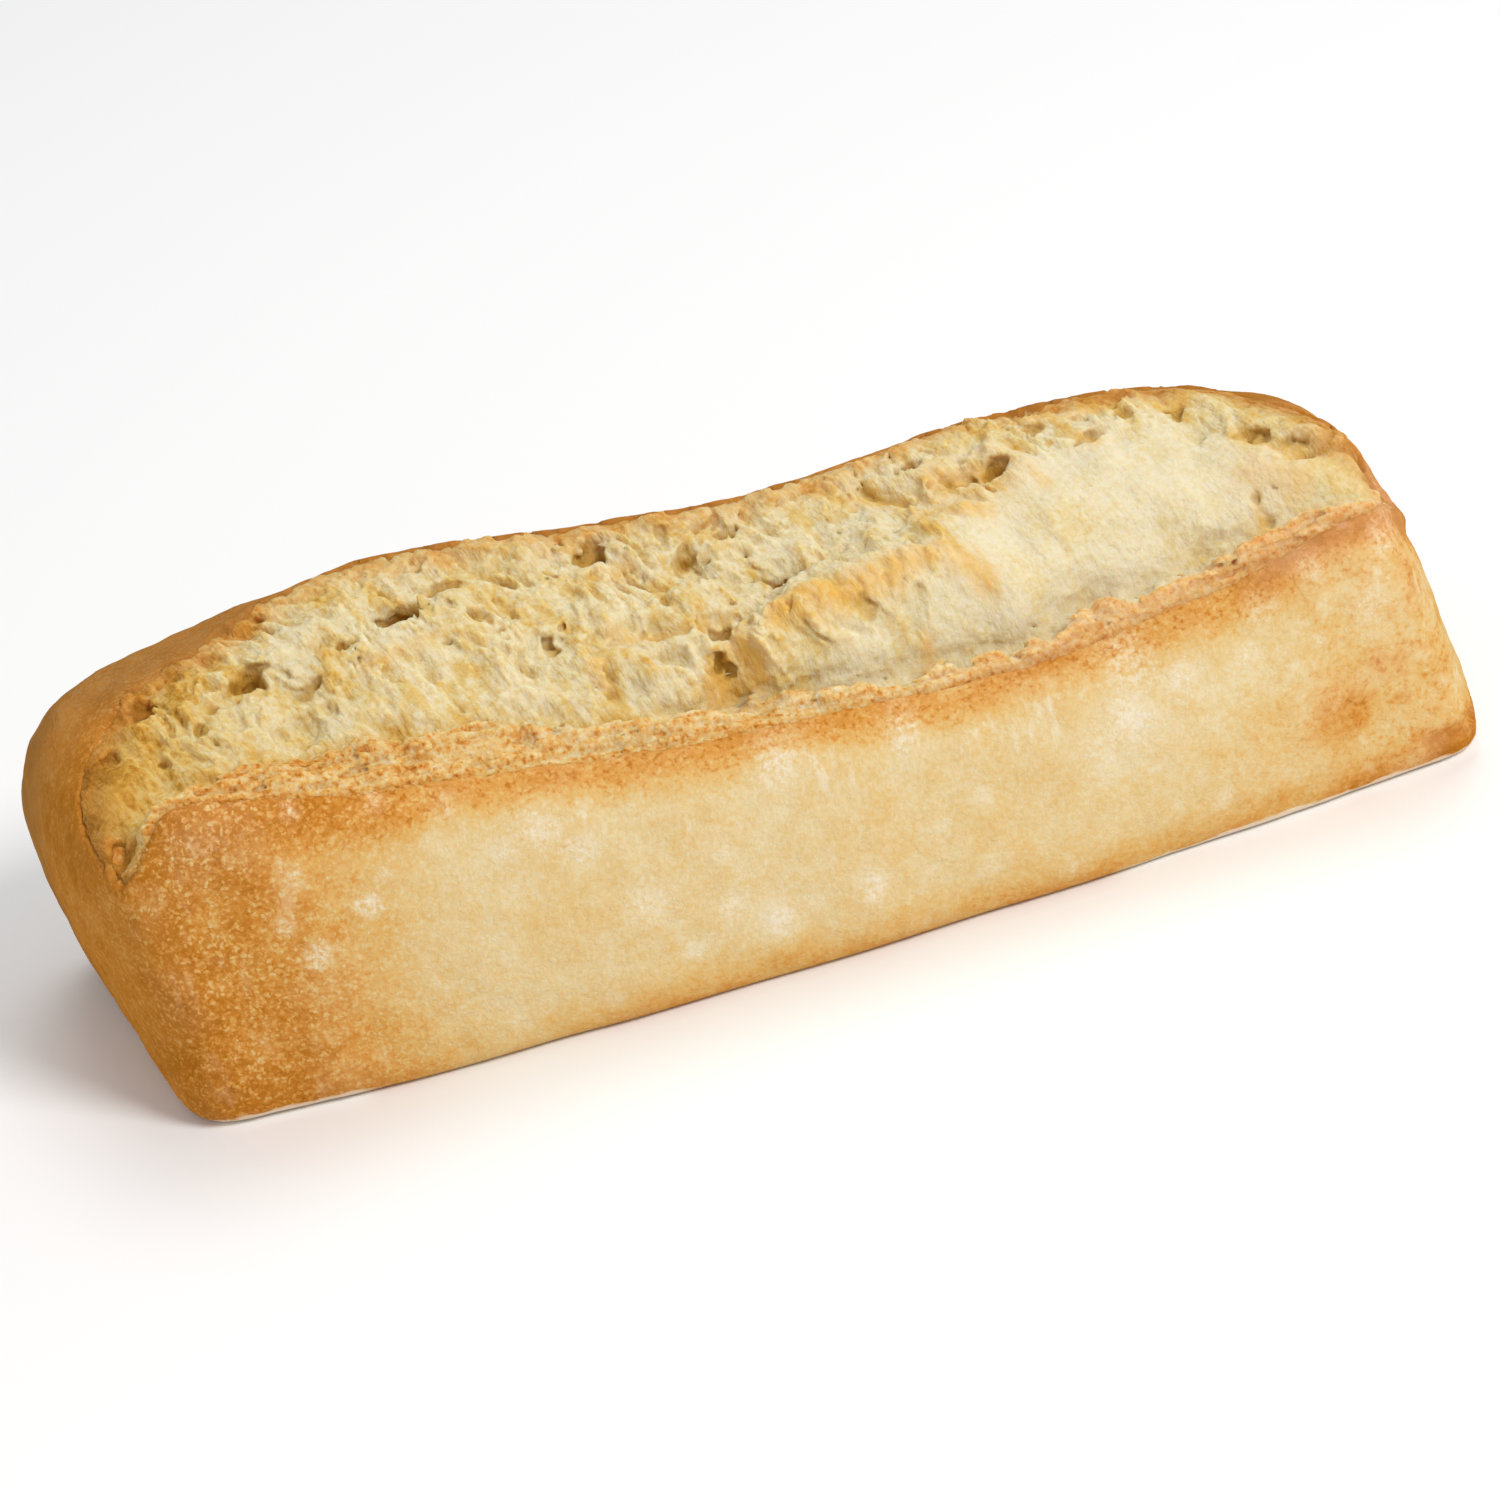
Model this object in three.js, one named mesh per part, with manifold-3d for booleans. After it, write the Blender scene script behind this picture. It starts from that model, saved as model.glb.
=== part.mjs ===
// Mini ciabatta: one baked loaf, torn open along its top so that the crumb shows between two crust edges.
// Millimetres, +Z up. The origin is the middle of the loaf's box, on the resting face. +X runs to the
// right-hand end, -Y is the side with the lower crust edge (the lip), and +Y the side with the raised edge
// (the ear).
import * as THREE from "three";
import { ImprovedNoise } from "three/addons/math/ImprovedNoise.js";
import { LoftGeometry } from "three/addons/geometries/LoftGeometry.js";
import { mergeVertices } from "three/addons/utils/BufferGeometryUtils.js";
import Module from "manifold-3d";

// Driving dimensions
const SPINE_LENGTH = 187; // tip to tip, before the ends lean
const WIDTH = 56;
const FRONT_UNDERCUT = 2.5; // how far the resting face stays inside the fullest part of the front
const BACK_UNDERCUT = 4;
const FRONT_FULL_HEIGHT = 15; // where the front bulges furthest
const BACK_FULL_HEIGHT = 19;
const CRUST_THICKNESS = 1.6;
const EAR_DROP = 0.5; // from the inner to the outer edge of the ear

// How softly the section turns: reaches of its curve handles
const BASE_ROUND = 2.6;
const LIP_ROUND = 3.4;
const FRONT_LOW_REACH = 10;
const FRONT_HIGH_SHARE = 0.75; // of the rise from the fullest part to the lip
const BACK_LOW_REACH = 8;
const BACK_HIGH_REACH = 14;
const EAR_SHARE = 0.6; // of the width from the ear to the fullest part

// The two ends. Each round is the distance in from the tip where the loaf has its full section.
const PLAN_ROUND = { left: 10, right: 8 };
const PLAN_SQUARENESS = 3.1;
const FOOT_ROUND = 3;
const FOOT_SQUARENESS = 2.5;
const TOP_ROUND = { left: 15, right: 8 };
const TOP_SQUARENESS = { left: 2.4, right: 2.8 };
const TIP_SIZE = 0.08; // width of the last section, as a share of the full one
const TIP_HEIGHT = 20;

// How the ends lean: the left end is drawn in towards its front and its foot, the right end towards its top
const LEFT_FRONT_SLANT = 10;
const LEFT_FOOT_SLANT = 6;
const RIGHT_TOP_SLANT = -10;
const RIGHT_SLANT_POWER = 1.15; // more than 1 draws in the top most
const SLANT_REACH = 45; // how far in from the tip the lean fades out
const SHOULDER_HEIGHT = 45; // where the lean is complete

// Lines that run along the loaf, as pairs of place and value. The place is 0 at the left end, 1 at the right.
const frontReach = along([0, 25], [0.25, 28], [0.75, 28], [1, 24]);
const lipY = along(
  ...[[0, -14], [0.03, -18], [0.1, -21.5], [0.3, -22]],
  ...[[0.8, -22], [0.96, -21], [1, -19]],
);
const lipZ = along(
  ...[[0, 42], [0.1, 43.5], [0.26, 38], [0.42, 33], [0.55, 31]],
  ...[[0.67, 29.5], [0.81, 31.5], [0.95, 36], [1, 38]],
);
const crestWidth = along(
  ...[[0, 0.4], [0.1, 2], [0.3, 5.5], [0.55, 3]],
  ...[[0.7, 3.5], [0.82, 4.5], [0.95, 1.4], [1, 0.4]],
);
const crestRise = along(
  ...[[0, 0], [0.1, 0.4], [0.26, 3], [0.42, 2.2]],
  ...[[0.55, 1.2], [0.82, 2.6], [0.95, 0.8], [1, 0]],
);
const footWidth = along(
  ...[[0, 0.8], [0.1, 4.5], [0.3, 8], [0.55, 5]],
  ...[[0.7, 5.5], [0.82, 6.5], [0.95, 2.6], [1, 0.8]],
);
const footRise = along(
  ...[[0, 0], [0.1, -2], [0.26, 2], [0.42, 1], [0.55, -0.8]],
  ...[[0.7, -0.4], [0.82, 1.4], [0.95, 0.3], [1, 0]],
);
const browAt = along([0, 0.3], [0.3, 0.25], [0.5, 0.28], [0.58, 0.34], [0.8, 0.34], [1, 0.4]);
const browRise = along(
  ...[[0, 0], [0.1, 1], [0.3, 2], [0.45, 2], [0.52, 6]],
  ...[[0.6, 7.5], [0.75, 5.5], [0.9, 2.5], [1, 0]],
);
const dipAt = along([0, 0.65], [0.3, 0.62], [0.5, 0.6], [0.58, 0.57], [0.75, 0.72], [1, 0.6]);
const dipRise = along(
  ...[[0, 0], [0.1, 1], [0.3, 2], [0.45, 2], [0.56, 2.5]],
  ...[[0.66, 4], [0.78, 4], [0.86, 2.5], [0.93, -0.5], [1, -1]],
);
const earY = along(
  ...[[0, -10], [0.03, -4], [0.06, 3], [0.1, 10], [0.15, 14.5], [0.22, 18], [0.3, 20], [0.45, 15]],
  ...[[0.56, 13], [0.7, 14.5], [0.8, 13.5], [0.86, 10.5], [0.9, 5], [0.94, -4], [0.97, -11], [1, -14]],
);
const earZ = along(
  ...[[0, 42], [0.06, 44], [0.15, 45.5], [0.22, 46.5], [0.3, 47], [0.45, 45.5], [0.56, 44.5]],
  ...[[0.7, 45], [0.8, 44.8], [0.86, 44.6], [0.9, 44.8], [0.94, 44.8], [0.97, 44.5], [1, 43.5]],
);
const earSlope = along(
  ...[[0, 5], [0.1, 4], [0.2, 2], [0.35, -1.5]],
  ...[[0.72, -1.5], [0.88, -2.5], [0.96, 1], [1, 2]],
);

// Relief: rolling crust, flaky shelf behind the lip, and torn crumb with lumps in it
const CRUST_ROLL = { depth: 0.45, size: 17 };
const SHELF_FLAKE = { depth: 0.9, size: 4.6 };
const CRUMB_TEAR = { depth: 1.5, size: 6.5, stretch: 2.2 };
const CRUMB_LUMP = { depth: 0.8, size: 3.4 };
const TEAR_CLOSED = 6; // the crumb is smooth where the tear is this narrow
const TEAR_OPEN = 20; // and has its full relief where it is this wide

// Gas holes that the tear opened: place along the loaf, place across the crumb from the lip side, half
// length, half width, depth, and turn in degrees from the length of the loaf
const GAS_HOLES = [
  [0.32, 0.7, 3.2, 2, 2.6, -8],
  [0.21, 0.55, 2.6, 1.8, 2.4, 20],
  [0.245, 0.25, 3.6, 2.8, 1.8, 30],
  [0.135, 0.75, 2.4, 1.8, 2.2, 40],
  [0.44, 0.85, 2.8, 1.7, 2, 20],
  [0.5, 0.75, 2.6, 1.8, 1.8, 0],
  [0.7, 0.65, 2.6, 1.6, 2.2, 10],
  [0.665, 0.7, 2.2, 1.4, 1.6, 0],
  [0.765, 0.6, 2.2, 1.4, 1.8, 0],
  [0.83, 0.65, 2.4, 1.5, 1.8, 20],
  [0.89, 0.55, 3.6, 1.2, 2.2, -20],
  [0.91, 0.75, 2.4, 1.2, 1.6, -35],
  [0.5, 0.45, 3.6, 2.2, 2.6, 60],
  [0.545, 0.65, 4.2, 1.2, 2.4, 25],
  [0.39, 0.45, 2.4, 1.3, 1.4, 60],
  [0.355, 0.65, 2.2, 1.4, 1.6, 50],
  [0.435, 0.2, 2.2, 1.3, 1.4, 80],
  [0.59, 0.2, 1.8, 1.2, 1.2, 60],
  [0.265, 0.6, 2, 1.3, 1.6, 30],
  [0.59, 0.7, 2.2, 1.3, 1.6, 40],
];

// A small fold of dough at the foot of the right end
const NUB_PLACE = new THREE.Vector3(87.2, -20, 3.5);
const NUB_HALVES = [3.6, 4.6, 3.4];

// How finely the surface is divided: steps round a section from the base up the back, over the top and down
// the front, sections along the body and along each end, and the sides and rings of a hole
const STEPS = { base: 5, back: 5, ear: 2, crumb: 20, groove: 2, shelf: 3, front: 5 };
const CRUMB_START = STEPS.base + 2 * STEPS.back + STEPS.ear;
const SHELF_START = CRUMB_START + STEPS.crumb;
const FRONT_START = SHELF_START + STEPS.groove + STEPS.shelf;
const BODY_STATIONS = 66;
const END_STATIONS = 8;
const HOLE_SIDES = 9;
const HOLE_RINGS = 6;
const WELD = 1e-4;
const FINEST = 0.02; // slivers thinner than this are closed up

const CRUST_COLOUR = 0xdfae68;
const CRUST_ROUGHNESS = 0.75;

const clouds = new ImprovedNoise();
const wasm = await Module();
wasm.setup();

// A smooth line through pairs of place and value
function along(...pairs) {
  const places = pairs.map(([place]) => place);
  const values = pairs.map(([, value]) => value);
  const line = new THREE.CubicInterpolant(places, values, 1);
  return (place) => line.evaluate(place)[0];
}

// The curves of the section at a place, in order, each with its number of steps. The plane is (Y, Z).
function sectionCurves(place) {
  const reach = frontReach(place);
  const baseFront = new THREE.Vector2(-reach + FRONT_UNDERCUT, 0);
  const baseBack = new THREE.Vector2(WIDTH / 2 - BACK_UNDERCUT, 0);
  const fullFront = new THREE.Vector2(-reach, FRONT_FULL_HEIGHT);
  const fullBack = new THREE.Vector2(WIDTH / 2, BACK_FULL_HEIGHT);
  const lip = new THREE.Vector2(lipY(place), lipZ(place));
  const crest = new THREE.Vector2(lip.x + crestWidth(place), lip.y + crestRise(place));
  const foot = new THREE.Vector2(lip.x + footWidth(place), lip.y + footRise(place));
  const ear = new THREE.Vector2(earY(place), earZ(place));
  const earBack = new THREE.Vector2(ear.x + CRUST_THICKNESS, ear.y - EAR_DROP);

  const chord = ear.clone().sub(foot);
  const above = new THREE.Vector2(-chord.y, chord.x).normalize();
  const overChord = (share, rise) => foot.clone().addScaledVector(chord, share).addScaledVector(above, rise);
  const dip = overChord(dipAt(place), dipRise(place));
  const brow = overChord(browAt(place), browRise(place));

  const highFront = (lip.y - FRONT_FULL_HEIGHT) * FRONT_HIGH_SHARE;
  const earReach = (fullBack.x - earBack.x) * EAR_SHARE;
  const bend = (start, [startY, startZ], end, [endY, endZ]) =>
    new THREE.CubicBezierCurve(
      start,
      new THREE.Vector2(start.x + startY, start.y + startZ),
      new THREE.Vector2(end.x + endY, end.y + endZ),
      end,
    );
  return [
    [STEPS.base, new THREE.LineCurve(baseFront, baseBack)],
    [STEPS.back, bend(baseBack, [BASE_ROUND, 0], fullBack, [0, -BACK_LOW_REACH])],
    [STEPS.back, bend(fullBack, [0, BACK_HIGH_REACH], earBack, [earReach, earSlope(place)])],
    [STEPS.ear, new THREE.LineCurve(earBack, ear)],
    [STEPS.crumb, new THREE.SplineCurve([ear, dip, brow, foot])],
    [STEPS.groove, new THREE.LineCurve(foot, crest)],
    [STEPS.shelf, new THREE.LineCurve(crest, lip)],
    [STEPS.front, bend(lip, [-LIP_ROUND, 0], fullFront, [0, highFront])],
    [STEPS.front, bend(fullFront, [0, -FRONT_LOW_REACH], baseFront, [-BASE_ROUND, 0])],
  ];
}

function sectionPoints(place) {
  return sectionCurves(place).flatMap(([steps, curve]) =>
    Array.from({ length: steps }, (_, k) => curve.getPoint(k / steps)),
  );
}

// Share of the full section at a distance in from the tip
function closing(inset, round, squareness) {
  const rest = Math.max(0, 1 - inset / round);
  return (1 - rest ** squareness) ** (1 / squareness);
}

// Distances of the sections from the middle of the loaf
function stations() {
  const half = SPINE_LENGTH / 2;
  const firstTurn = Math.asin(TIP_SIZE ** (PLAN_SQUARENESS / 2));
  const insets = (round) =>
    Array.from({ length: END_STATIONS }, (_, k) => {
      const turn = THREE.MathUtils.lerp(firstTurn, Math.PI / 2, k / END_STATIONS);
      return round * (1 - Math.cos(turn) ** (2 / PLAN_SQUARENESS));
    });
  const left = insets(PLAN_ROUND.left).map((inset) => inset - half);
  const right = insets(PLAN_ROUND.right).map((inset) => half - inset);
  const middle = Array.from({ length: BODY_STATIONS + 1 }, (_, k) =>
    THREE.MathUtils.lerp(PLAN_ROUND.left - half, half - PLAN_ROUND.right, k / BODY_STATIONS),
  );
  return [...left, ...middle, ...right.reverse()];
}

// Shift along the loaf of a point near an end
function lean(x, y, z) {
  const fadeFrom = SPINE_LENGTH / 2 - SLANT_REACH;
  const left = THREE.MathUtils.smoothstep(-x, fadeFrom, SPINE_LENGTH / 2);
  const right = THREE.MathUtils.smoothstep(x, fadeFrom, SPINE_LENGTH / 2);
  const front = THREE.MathUtils.clamp(0.5 - y / WIDTH, 0, 1);
  const top = THREE.MathUtils.clamp(z / SHOULDER_HEIGHT, 0, 1);
  const leftShift = LEFT_FRONT_SLANT * front + LEFT_FOOT_SLANT * (1 - top);
  return left * leftShift + right * RIGHT_TOP_SLANT * top ** RIGHT_SLANT_POWER;
}

// The smooth loaf as a grid of points, one closed ring for each station
function smoothGrid() {
  return stations().map((x) => {
    const inset = SPINE_LENGTH / 2 - Math.abs(x);
    const end = x < 0 ? "left" : "right";
    const wide = closing(inset, PLAN_ROUND[end], PLAN_SQUARENESS);
    const low = closing(inset, FOOT_ROUND, FOOT_SQUARENESS);
    const high = closing(inset, TOP_ROUND[end], TOP_SQUARENESS[end]);
    return sectionPoints(x / SPINE_LENGTH + 0.5).map((p) => {
      const y = p.x * wide;
      const z = TIP_HEIGHT + (p.y - TIP_HEIGHT) * (p.y > TIP_HEIGHT ? high : low);
      return new THREE.Vector3(x + lean(x, y, z), y, z);
    });
  });
}

// Outward direction of the surface at one point of the grid
function outward(grid, i, j) {
  const lastStation = grid.length - 1;
  const count = grid[0].length;
  const before = grid[Math.max(i - 1, 0)][j];
  const after = grid[Math.min(i + 1, lastStation)][j];
  const around = grid[i][(j + 1) % count].clone().sub(grid[i][(j + count - 1) % count]);
  return around.cross(after.clone().sub(before)).normalize();
}

// Height of the relief at one point of the grid. openness is 1 where the tear is wide.
function relief(p, j, openness) {
  const noise = (size, stretch = 1) => clouds.noise(p.x / size, p.y / (size * stretch), p.z / size);
  if (j <= STEPS.base) return 0;
  if (j > CRUMB_START && j < SHELF_START) {
    const inside = Math.sqrt(Math.sin((Math.PI * (j - CRUMB_START)) / STEPS.crumb));
    const torn = CRUMB_TEAR.depth * noise(CRUMB_TEAR.size, CRUMB_TEAR.stretch);
    return openness * inside * (torn + CRUMB_LUMP.depth * noise(CRUMB_LUMP.size));
  }
  if (j >= SHELF_START && j < FRONT_START) return openness * SHELF_FLAKE.depth * noise(SHELF_FLAKE.size);
  return CRUST_ROLL.depth * noise(CRUST_ROLL.size);
}

function bakedGrid() {
  const grid = smoothGrid();
  return grid.map((points, i) => {
    const tear = points[CRUMB_START].distanceTo(points[FRONT_START]);
    const openness = THREE.MathUtils.smoothstep(tear, TEAR_CLOSED, TEAR_OPEN);
    return points.map((p, j) => {
      const q = p.clone().addScaledVector(outward(grid, i, j), relief(p, j, openness));
      return q.setZ(Math.max(q.z, 0));
    });
  });
}

function toSolid(geometry) {
  const plain = new THREE.BufferGeometry().copy(geometry);
  plain.deleteAttribute("normal");
  plain.deleteAttribute("uv");
  const welded = mergeVertices(plain, WELD);
  const vertProperties = new Float32Array(welded.getAttribute("position").array);
  const triVerts = new Uint32Array(welded.index.array);
  return new wasm.Manifold(new wasm.Mesh({ numProp: 3, vertProperties, triVerts }));
}

function toGeometry(solid) {
  const mesh = solid.getMesh();
  const geometry = new THREE.BufferGeometry();
  geometry.setAttribute("position", new THREE.BufferAttribute(mesh.vertProperties, 3));
  geometry.setIndex(new THREE.BufferAttribute(mesh.triVerts, 1));
  geometry.computeVertexNormals();
  return geometry;
}

// A rounded lump or hollow with half axes lengthways, across and into the surface
function ellipsoid(centre, lengthways, normal, halves) {
  const across = normal.clone().cross(lengthways).normalize();
  const level = across.clone().cross(normal);
  const frame = new THREE.Matrix4().makeBasis(level, across, normal).setPosition(centre);
  frame.multiply(new THREE.Matrix4().makeScale(...halves));
  return toSolid(new THREE.SphereGeometry(1, HOLE_SIDES, HOLE_RINGS).applyMatrix4(frame));
}

function gasHole(grid, [place, across, long, wide, deep, turn]) {
  const i = Math.round(place * (grid.length - 1));
  const j = Math.round(SHELF_START - across * STEPS.crumb);
  const normal = outward(grid, i, j);
  const lengthways = new THREE.Vector3(1, 0, 0).applyAxisAngle(normal, THREE.MathUtils.degToRad(turn));
  return ellipsoid(grid[i][j], lengthways, normal, [long, wide, deep]);
}

function loafGeometry() {
  const grid = bakedGrid();
  const body = toSolid(new LoftGeometry(grid, { capStart: true, capEnd: true }));
  const nub = ellipsoid(NUB_PLACE, new THREE.Vector3(1, 0, 0), new THREE.Vector3(0, 0, 1), NUB_HALVES);
  const holes = GAS_HOLES.map((hole) => gasHole(grid, hole));
  const solid = holes.reduce((rest, hole) => rest.subtract(hole), body.add(nub));
  const geometry = toGeometry(solid.simplify(FINEST));
  geometry.computeBoundingBox();
  const middle = geometry.boundingBox.getCenter(new THREE.Vector3());
  return geometry.translate(-middle.x, -middle.y, 0);
}

const crust = new THREE.MeshStandardMaterial({
  color: CRUST_COLOUR,
  roughness: CRUST_ROUGHNESS,
  metalness: 0,
});
const loaf = new THREE.Mesh(loafGeometry(), crust);
loaf.name = "loaf";

const ciabatta = new THREE.Group();
ciabatta.add(loaf);
export default ciabatta;
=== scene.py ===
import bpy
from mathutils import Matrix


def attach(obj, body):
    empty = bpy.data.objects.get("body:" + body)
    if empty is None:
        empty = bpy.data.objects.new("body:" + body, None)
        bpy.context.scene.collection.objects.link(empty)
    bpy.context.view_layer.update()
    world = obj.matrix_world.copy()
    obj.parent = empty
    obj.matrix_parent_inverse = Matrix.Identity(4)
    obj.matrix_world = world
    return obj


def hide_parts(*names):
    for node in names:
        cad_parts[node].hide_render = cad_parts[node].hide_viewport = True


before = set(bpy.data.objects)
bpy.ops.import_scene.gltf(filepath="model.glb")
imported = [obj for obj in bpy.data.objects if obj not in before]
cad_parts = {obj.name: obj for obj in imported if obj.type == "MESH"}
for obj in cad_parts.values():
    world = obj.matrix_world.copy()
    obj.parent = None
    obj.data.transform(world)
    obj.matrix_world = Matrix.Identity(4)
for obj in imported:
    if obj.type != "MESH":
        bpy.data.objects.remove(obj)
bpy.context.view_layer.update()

import math
import bmesh
import bpy
import numpy as np
from mathutils import Matrix, Vector

# Lengths below are in millimetres, in the frame of the solid loaf
MM = 0.001

# The photograph's view
VIEW_AZIMUTH = -8.25
VIEW_ELEVATION = 30.05
VIEW_ROLL = 12.12
VIEW_DISTANCE = 600
VIEW_TARGET = (-1.25, -7.9, 21.5)
LENS = 115.6
SENSOR = 36

# How finely the loaf is divided
SKIN_STEP = 0.8
SKIN_SMOOTHING = 10
CRUMB_STEP = 0.38
CRUMB_TRIANGLES = 195000
# Room left round the edges of the tear for the crumb
ROOM_BELOW = (4, 4, 9)
ROOM_ABOVE = (4, 4, 4)
# Heights and depths of what the crust and the crumb are shaped by
CRUST_SIZES = {"Roll": 1.1, "Ripple": 0.5, "Edge rise": 0.45, "Fold depth": 0.8, "Trough depth": 5.5}
CRUMB_SIZES = {
    "Depth": 7.0, "Lumps": 3.4, "Walls": 3.0, "Webs": 1.6, "Fibres": 1.0, "Large bowls": 2.2,
    "Small bowls": 1.2, "Shelf creases": 2.6, "Shelf grain": 1.6, "Shelf flakes": 3.0, "Shelf brink": 1.2,
    "Shelf tuck": 2.0, "Large pore": 1.7, "Middle pore": 1.1, "Small pore": 0.6,
}

# The tear turns down the two ends: beyond this place it stays within a small drop from its edges
END_START = 76.0
END_DROP = 2.5
TEAR_DROP = 12.0
# The ear is torn ragged along this stretch: reach, mean move, and waves as height, pace and shift
RAGGED_STRETCH = (-74, 78)
RAGGED_REACH = 3
RAGGED_MOVE = 0.3
RAGGED_WAVES = [(0.6, 0.9, 0), (0.5, 2.3, 1.7), (0.3, 4.1, 0.4)]

# Edge of the front crust along the tear, from the left tip to the right tip
LIP_EDGE = [
    (-80.5, -21.5, 34), (-78, -22.5, 37.5), (-75, -22.5, 41.5), (-71, -21.5, 43.5), (-63, -22, 42),
    (-51, -22, 38.5), (-36, -21.5, 36), (-22, -21.5, 33.5), (-8, -22, 32), (7, -22, 31), (21, -22, 30),
    (36, -22, 29.5), (50, -21.5, 31), (62, -21.5, 33), (72, -21, 35.5), (78.5, -20.5, 36.5),
    (81.5, -17.5, 35), (83.5, -13.5, 31.5), (85, -10.5, 28.5),
]
# Edge of the raised crust behind the tear, from the left tip to the right tip
EAR_EDGE = [
    (-80.5, -21.5, 34), (-82, -17.5, 39), (-82.5, -9, 41.5), (-80.5, -2.5, 43), (-77, 2.5, 44),
    (-72, 8, 45.5), (-63, 12.5, 46), (-56, 16.5, 46.5), (-48, 20, 47), (-40, 21, 47), (-30, 19, 46.5),
    (-15, 17, 45.5), (0, 15, 44.5), (14, 14.5, 44), (28, 16, 44.5), (43, 16.5, 44.5), (52, 15, 44.5),
    (60.5, 14.5, 43.5), (66.5, 13, 42.5), (71.5, 10.5, 42), (75, 6.5, 42), (77, 2, 41.5), (78.5, -3, 41),
    (79.5, -7, 40.5), (80.5, -10, 39.5), (81.5, -12, 37.5), (83, -11.5, 33.5), (85, -10.5, 28.5),
]
# Width of the torn shelf behind the front edge, at places along the loaf
SHELF_WIDTHS = [
    (-80, 0.5), (-74, 2.0), (-66, 4.5), (-58, 7.0), (-50, 8.0), (-42, 7.0), (-34, 9.0), (-28, 6.0),
    (-17, 4.5), (-8, 4.8), (-1, 6.4), (5, 4.5), (12, 2.8), (20, 2.5), (27, 3.4), (34, 2.8),
    (39, 4.0), (43, 6.2), (47, 3.4), (58, 4.2), (70, 4.2), (78, 2.4), (84, 0.5),
]

# Upper edge (X, Y) of the smooth pale pillow of crumb in the right half, from its left tip to the right end
PILLOW_EDGE = [
    (3, -14.5), (8, -12.5), (18, -11.5), (25, -10), (30, -5), (36, 0), (42, 4), (52, 6), (62, 4.5),
    (68, -1), (72, -5.5), (76, -9.5), (80, -12),
]

# Colours of the crust and of the crumb, from pale to fully baked
CRUST_BROWNING = [
    (0.0, (227, 214, 183)), (0.15, (224, 205, 163)), (0.3, (220, 191, 135)), (0.45, (217, 174, 104)),
    (0.6, (209, 147, 71)), (0.75, (189, 121, 42)), (0.88, (164, 101, 24)), (1.0, (132, 78, 16)),
]
CRUMB_BROWNING = [
    (0.0, (228, 216, 184)), (0.2, (224, 207, 163)), (0.4, (219, 193, 132)), (0.6, (215, 178, 102)),
    (0.8, (203, 156, 70)), (1.0, (176, 122, 38)),
]

# Middle of a browner patch low on the front near the right end, and height of a fold at the right foot
RIGHT_PATCH = (70, -25.5, 12.5)
FOLD_HEIGHT = 4.8
# How far the strands of the crumb lean along the loaf for each millimetre across it
STRAND_SLANT = 0.35

# Large forms of the crumb: a line over the loaf (X, Y), half width, and rise of the surface along it
FORMS = [
    ([(1, -11.5), (8, -11.5), (18.5, -10), (26, -10.5), (34, -12.5)], 3.0, 1.7),
    ([(-1.5, -4), (2, -4.5)], 3.8, -2.2),
    ([(4.5, 1.5), (10, -1.5)], 2.6, -1.8),
    ([(-1, -7), (-1.5, -11), (-2.5, -15.5)], 2.4, -1.8),
    ([(2.5, -8.5), (2.5, -13), (2, -16)], 2.2, 1.0),
    ([(-53.5, -7), (-51.5, -6.5)], 4.2, -1.8),
    ([(-39.5, 9.5), (-34, 10.5)], 3.6, -1.6),
    ([(67, -4), (71, -9), (74, -11), (77.5, -12.5)], 2.6, 1.6),
    ([(-80, -18.5), (-76.5, -16.5), (-73, -12)], 4.0, -1.8),
]
# Small moves of the skin towards the photograph's outline: a place, its reach, and the move
NUDGES = [
    ((-83, -24, 3), 8, (-1.6, -0.8, 0)),
    ((76, 3, 44), 6.5, (0, 0, -1.6)),
    ((77, 12, 42), 7, (0, 0, -1.6)),
    ((82, -8, 39), 5, (0.5, 0, 0.3)),
    ((82.4, -13.4, 36.2), 2.6, (-2.4, 0, -0.6)),
]
# Golden patches of the crumb, some of them painted shade of hollows and of a crease: a line over the loaf (X,
# Y), half width, and strength
GOLDEN_AND_SHADED_PATCHES = [
    ([(5, -10.5), (12, -10), (20.5, -9.5)], 1.6, 0.5),
    ([(20.5, -9.5), (27.5, -9), (31.5, -11.5)], 1.3, 0.35),
    ([(27, -1.5), (34, -3.5)], 1.6, 0.35),
    ([(20, 8), (25, 4.5)], 1.6, 0.3),
    ([(-0.5, -12), (0.5, -13.5)], 1.8, 0.5),
    ([(-3.5, -13), (-4.5, -14)], 1.6, 0.4),
    ([(-14, -4), (-7.5, -5)], 1.3, 0.25),
    ([(-14, 7), (-9.5, 7)], 1.4, 0.25),
    ([(-18, -8), (-17, -10.5)], 0.9, 0.3),
    ([(-3, -5.5), (-0.5, -10)], 1.6, 0.3),
    ([(40.5, 5), (43, -2)], 1.0, 0.25),
    ([(49.5, 4.5), (51.5, 2.5)], 1.0, 0.3),
    ([(68, -3), (72, -8.5), (76.5, -12)], 1.2, 0.3),
    ([(67, -9.5), (71.5, -14)], 2.4, 0.25),
    ([(30.5, 5.5), (38, 3.5)], 2.6, 0.35),
    ([(29.5, 3), (38, 0.5)], 2.4, 0.3),
    ([(44, 11.5), (56, 9.5), (64, 7)], 1.8, 0.3),
    ([(67, -12), (66, -16)], 0.8, 0.3),
    ([(-44.5, -1.5), (-36, 1)], 1.2, 0.25),
    ([(-81.5, -9.5), (-79, -12)], 1.8, 0.4),
    ([(22, -14.5), (21.5, -16), (20.5, -17.5)], 0.6, 0.35),
]
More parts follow.
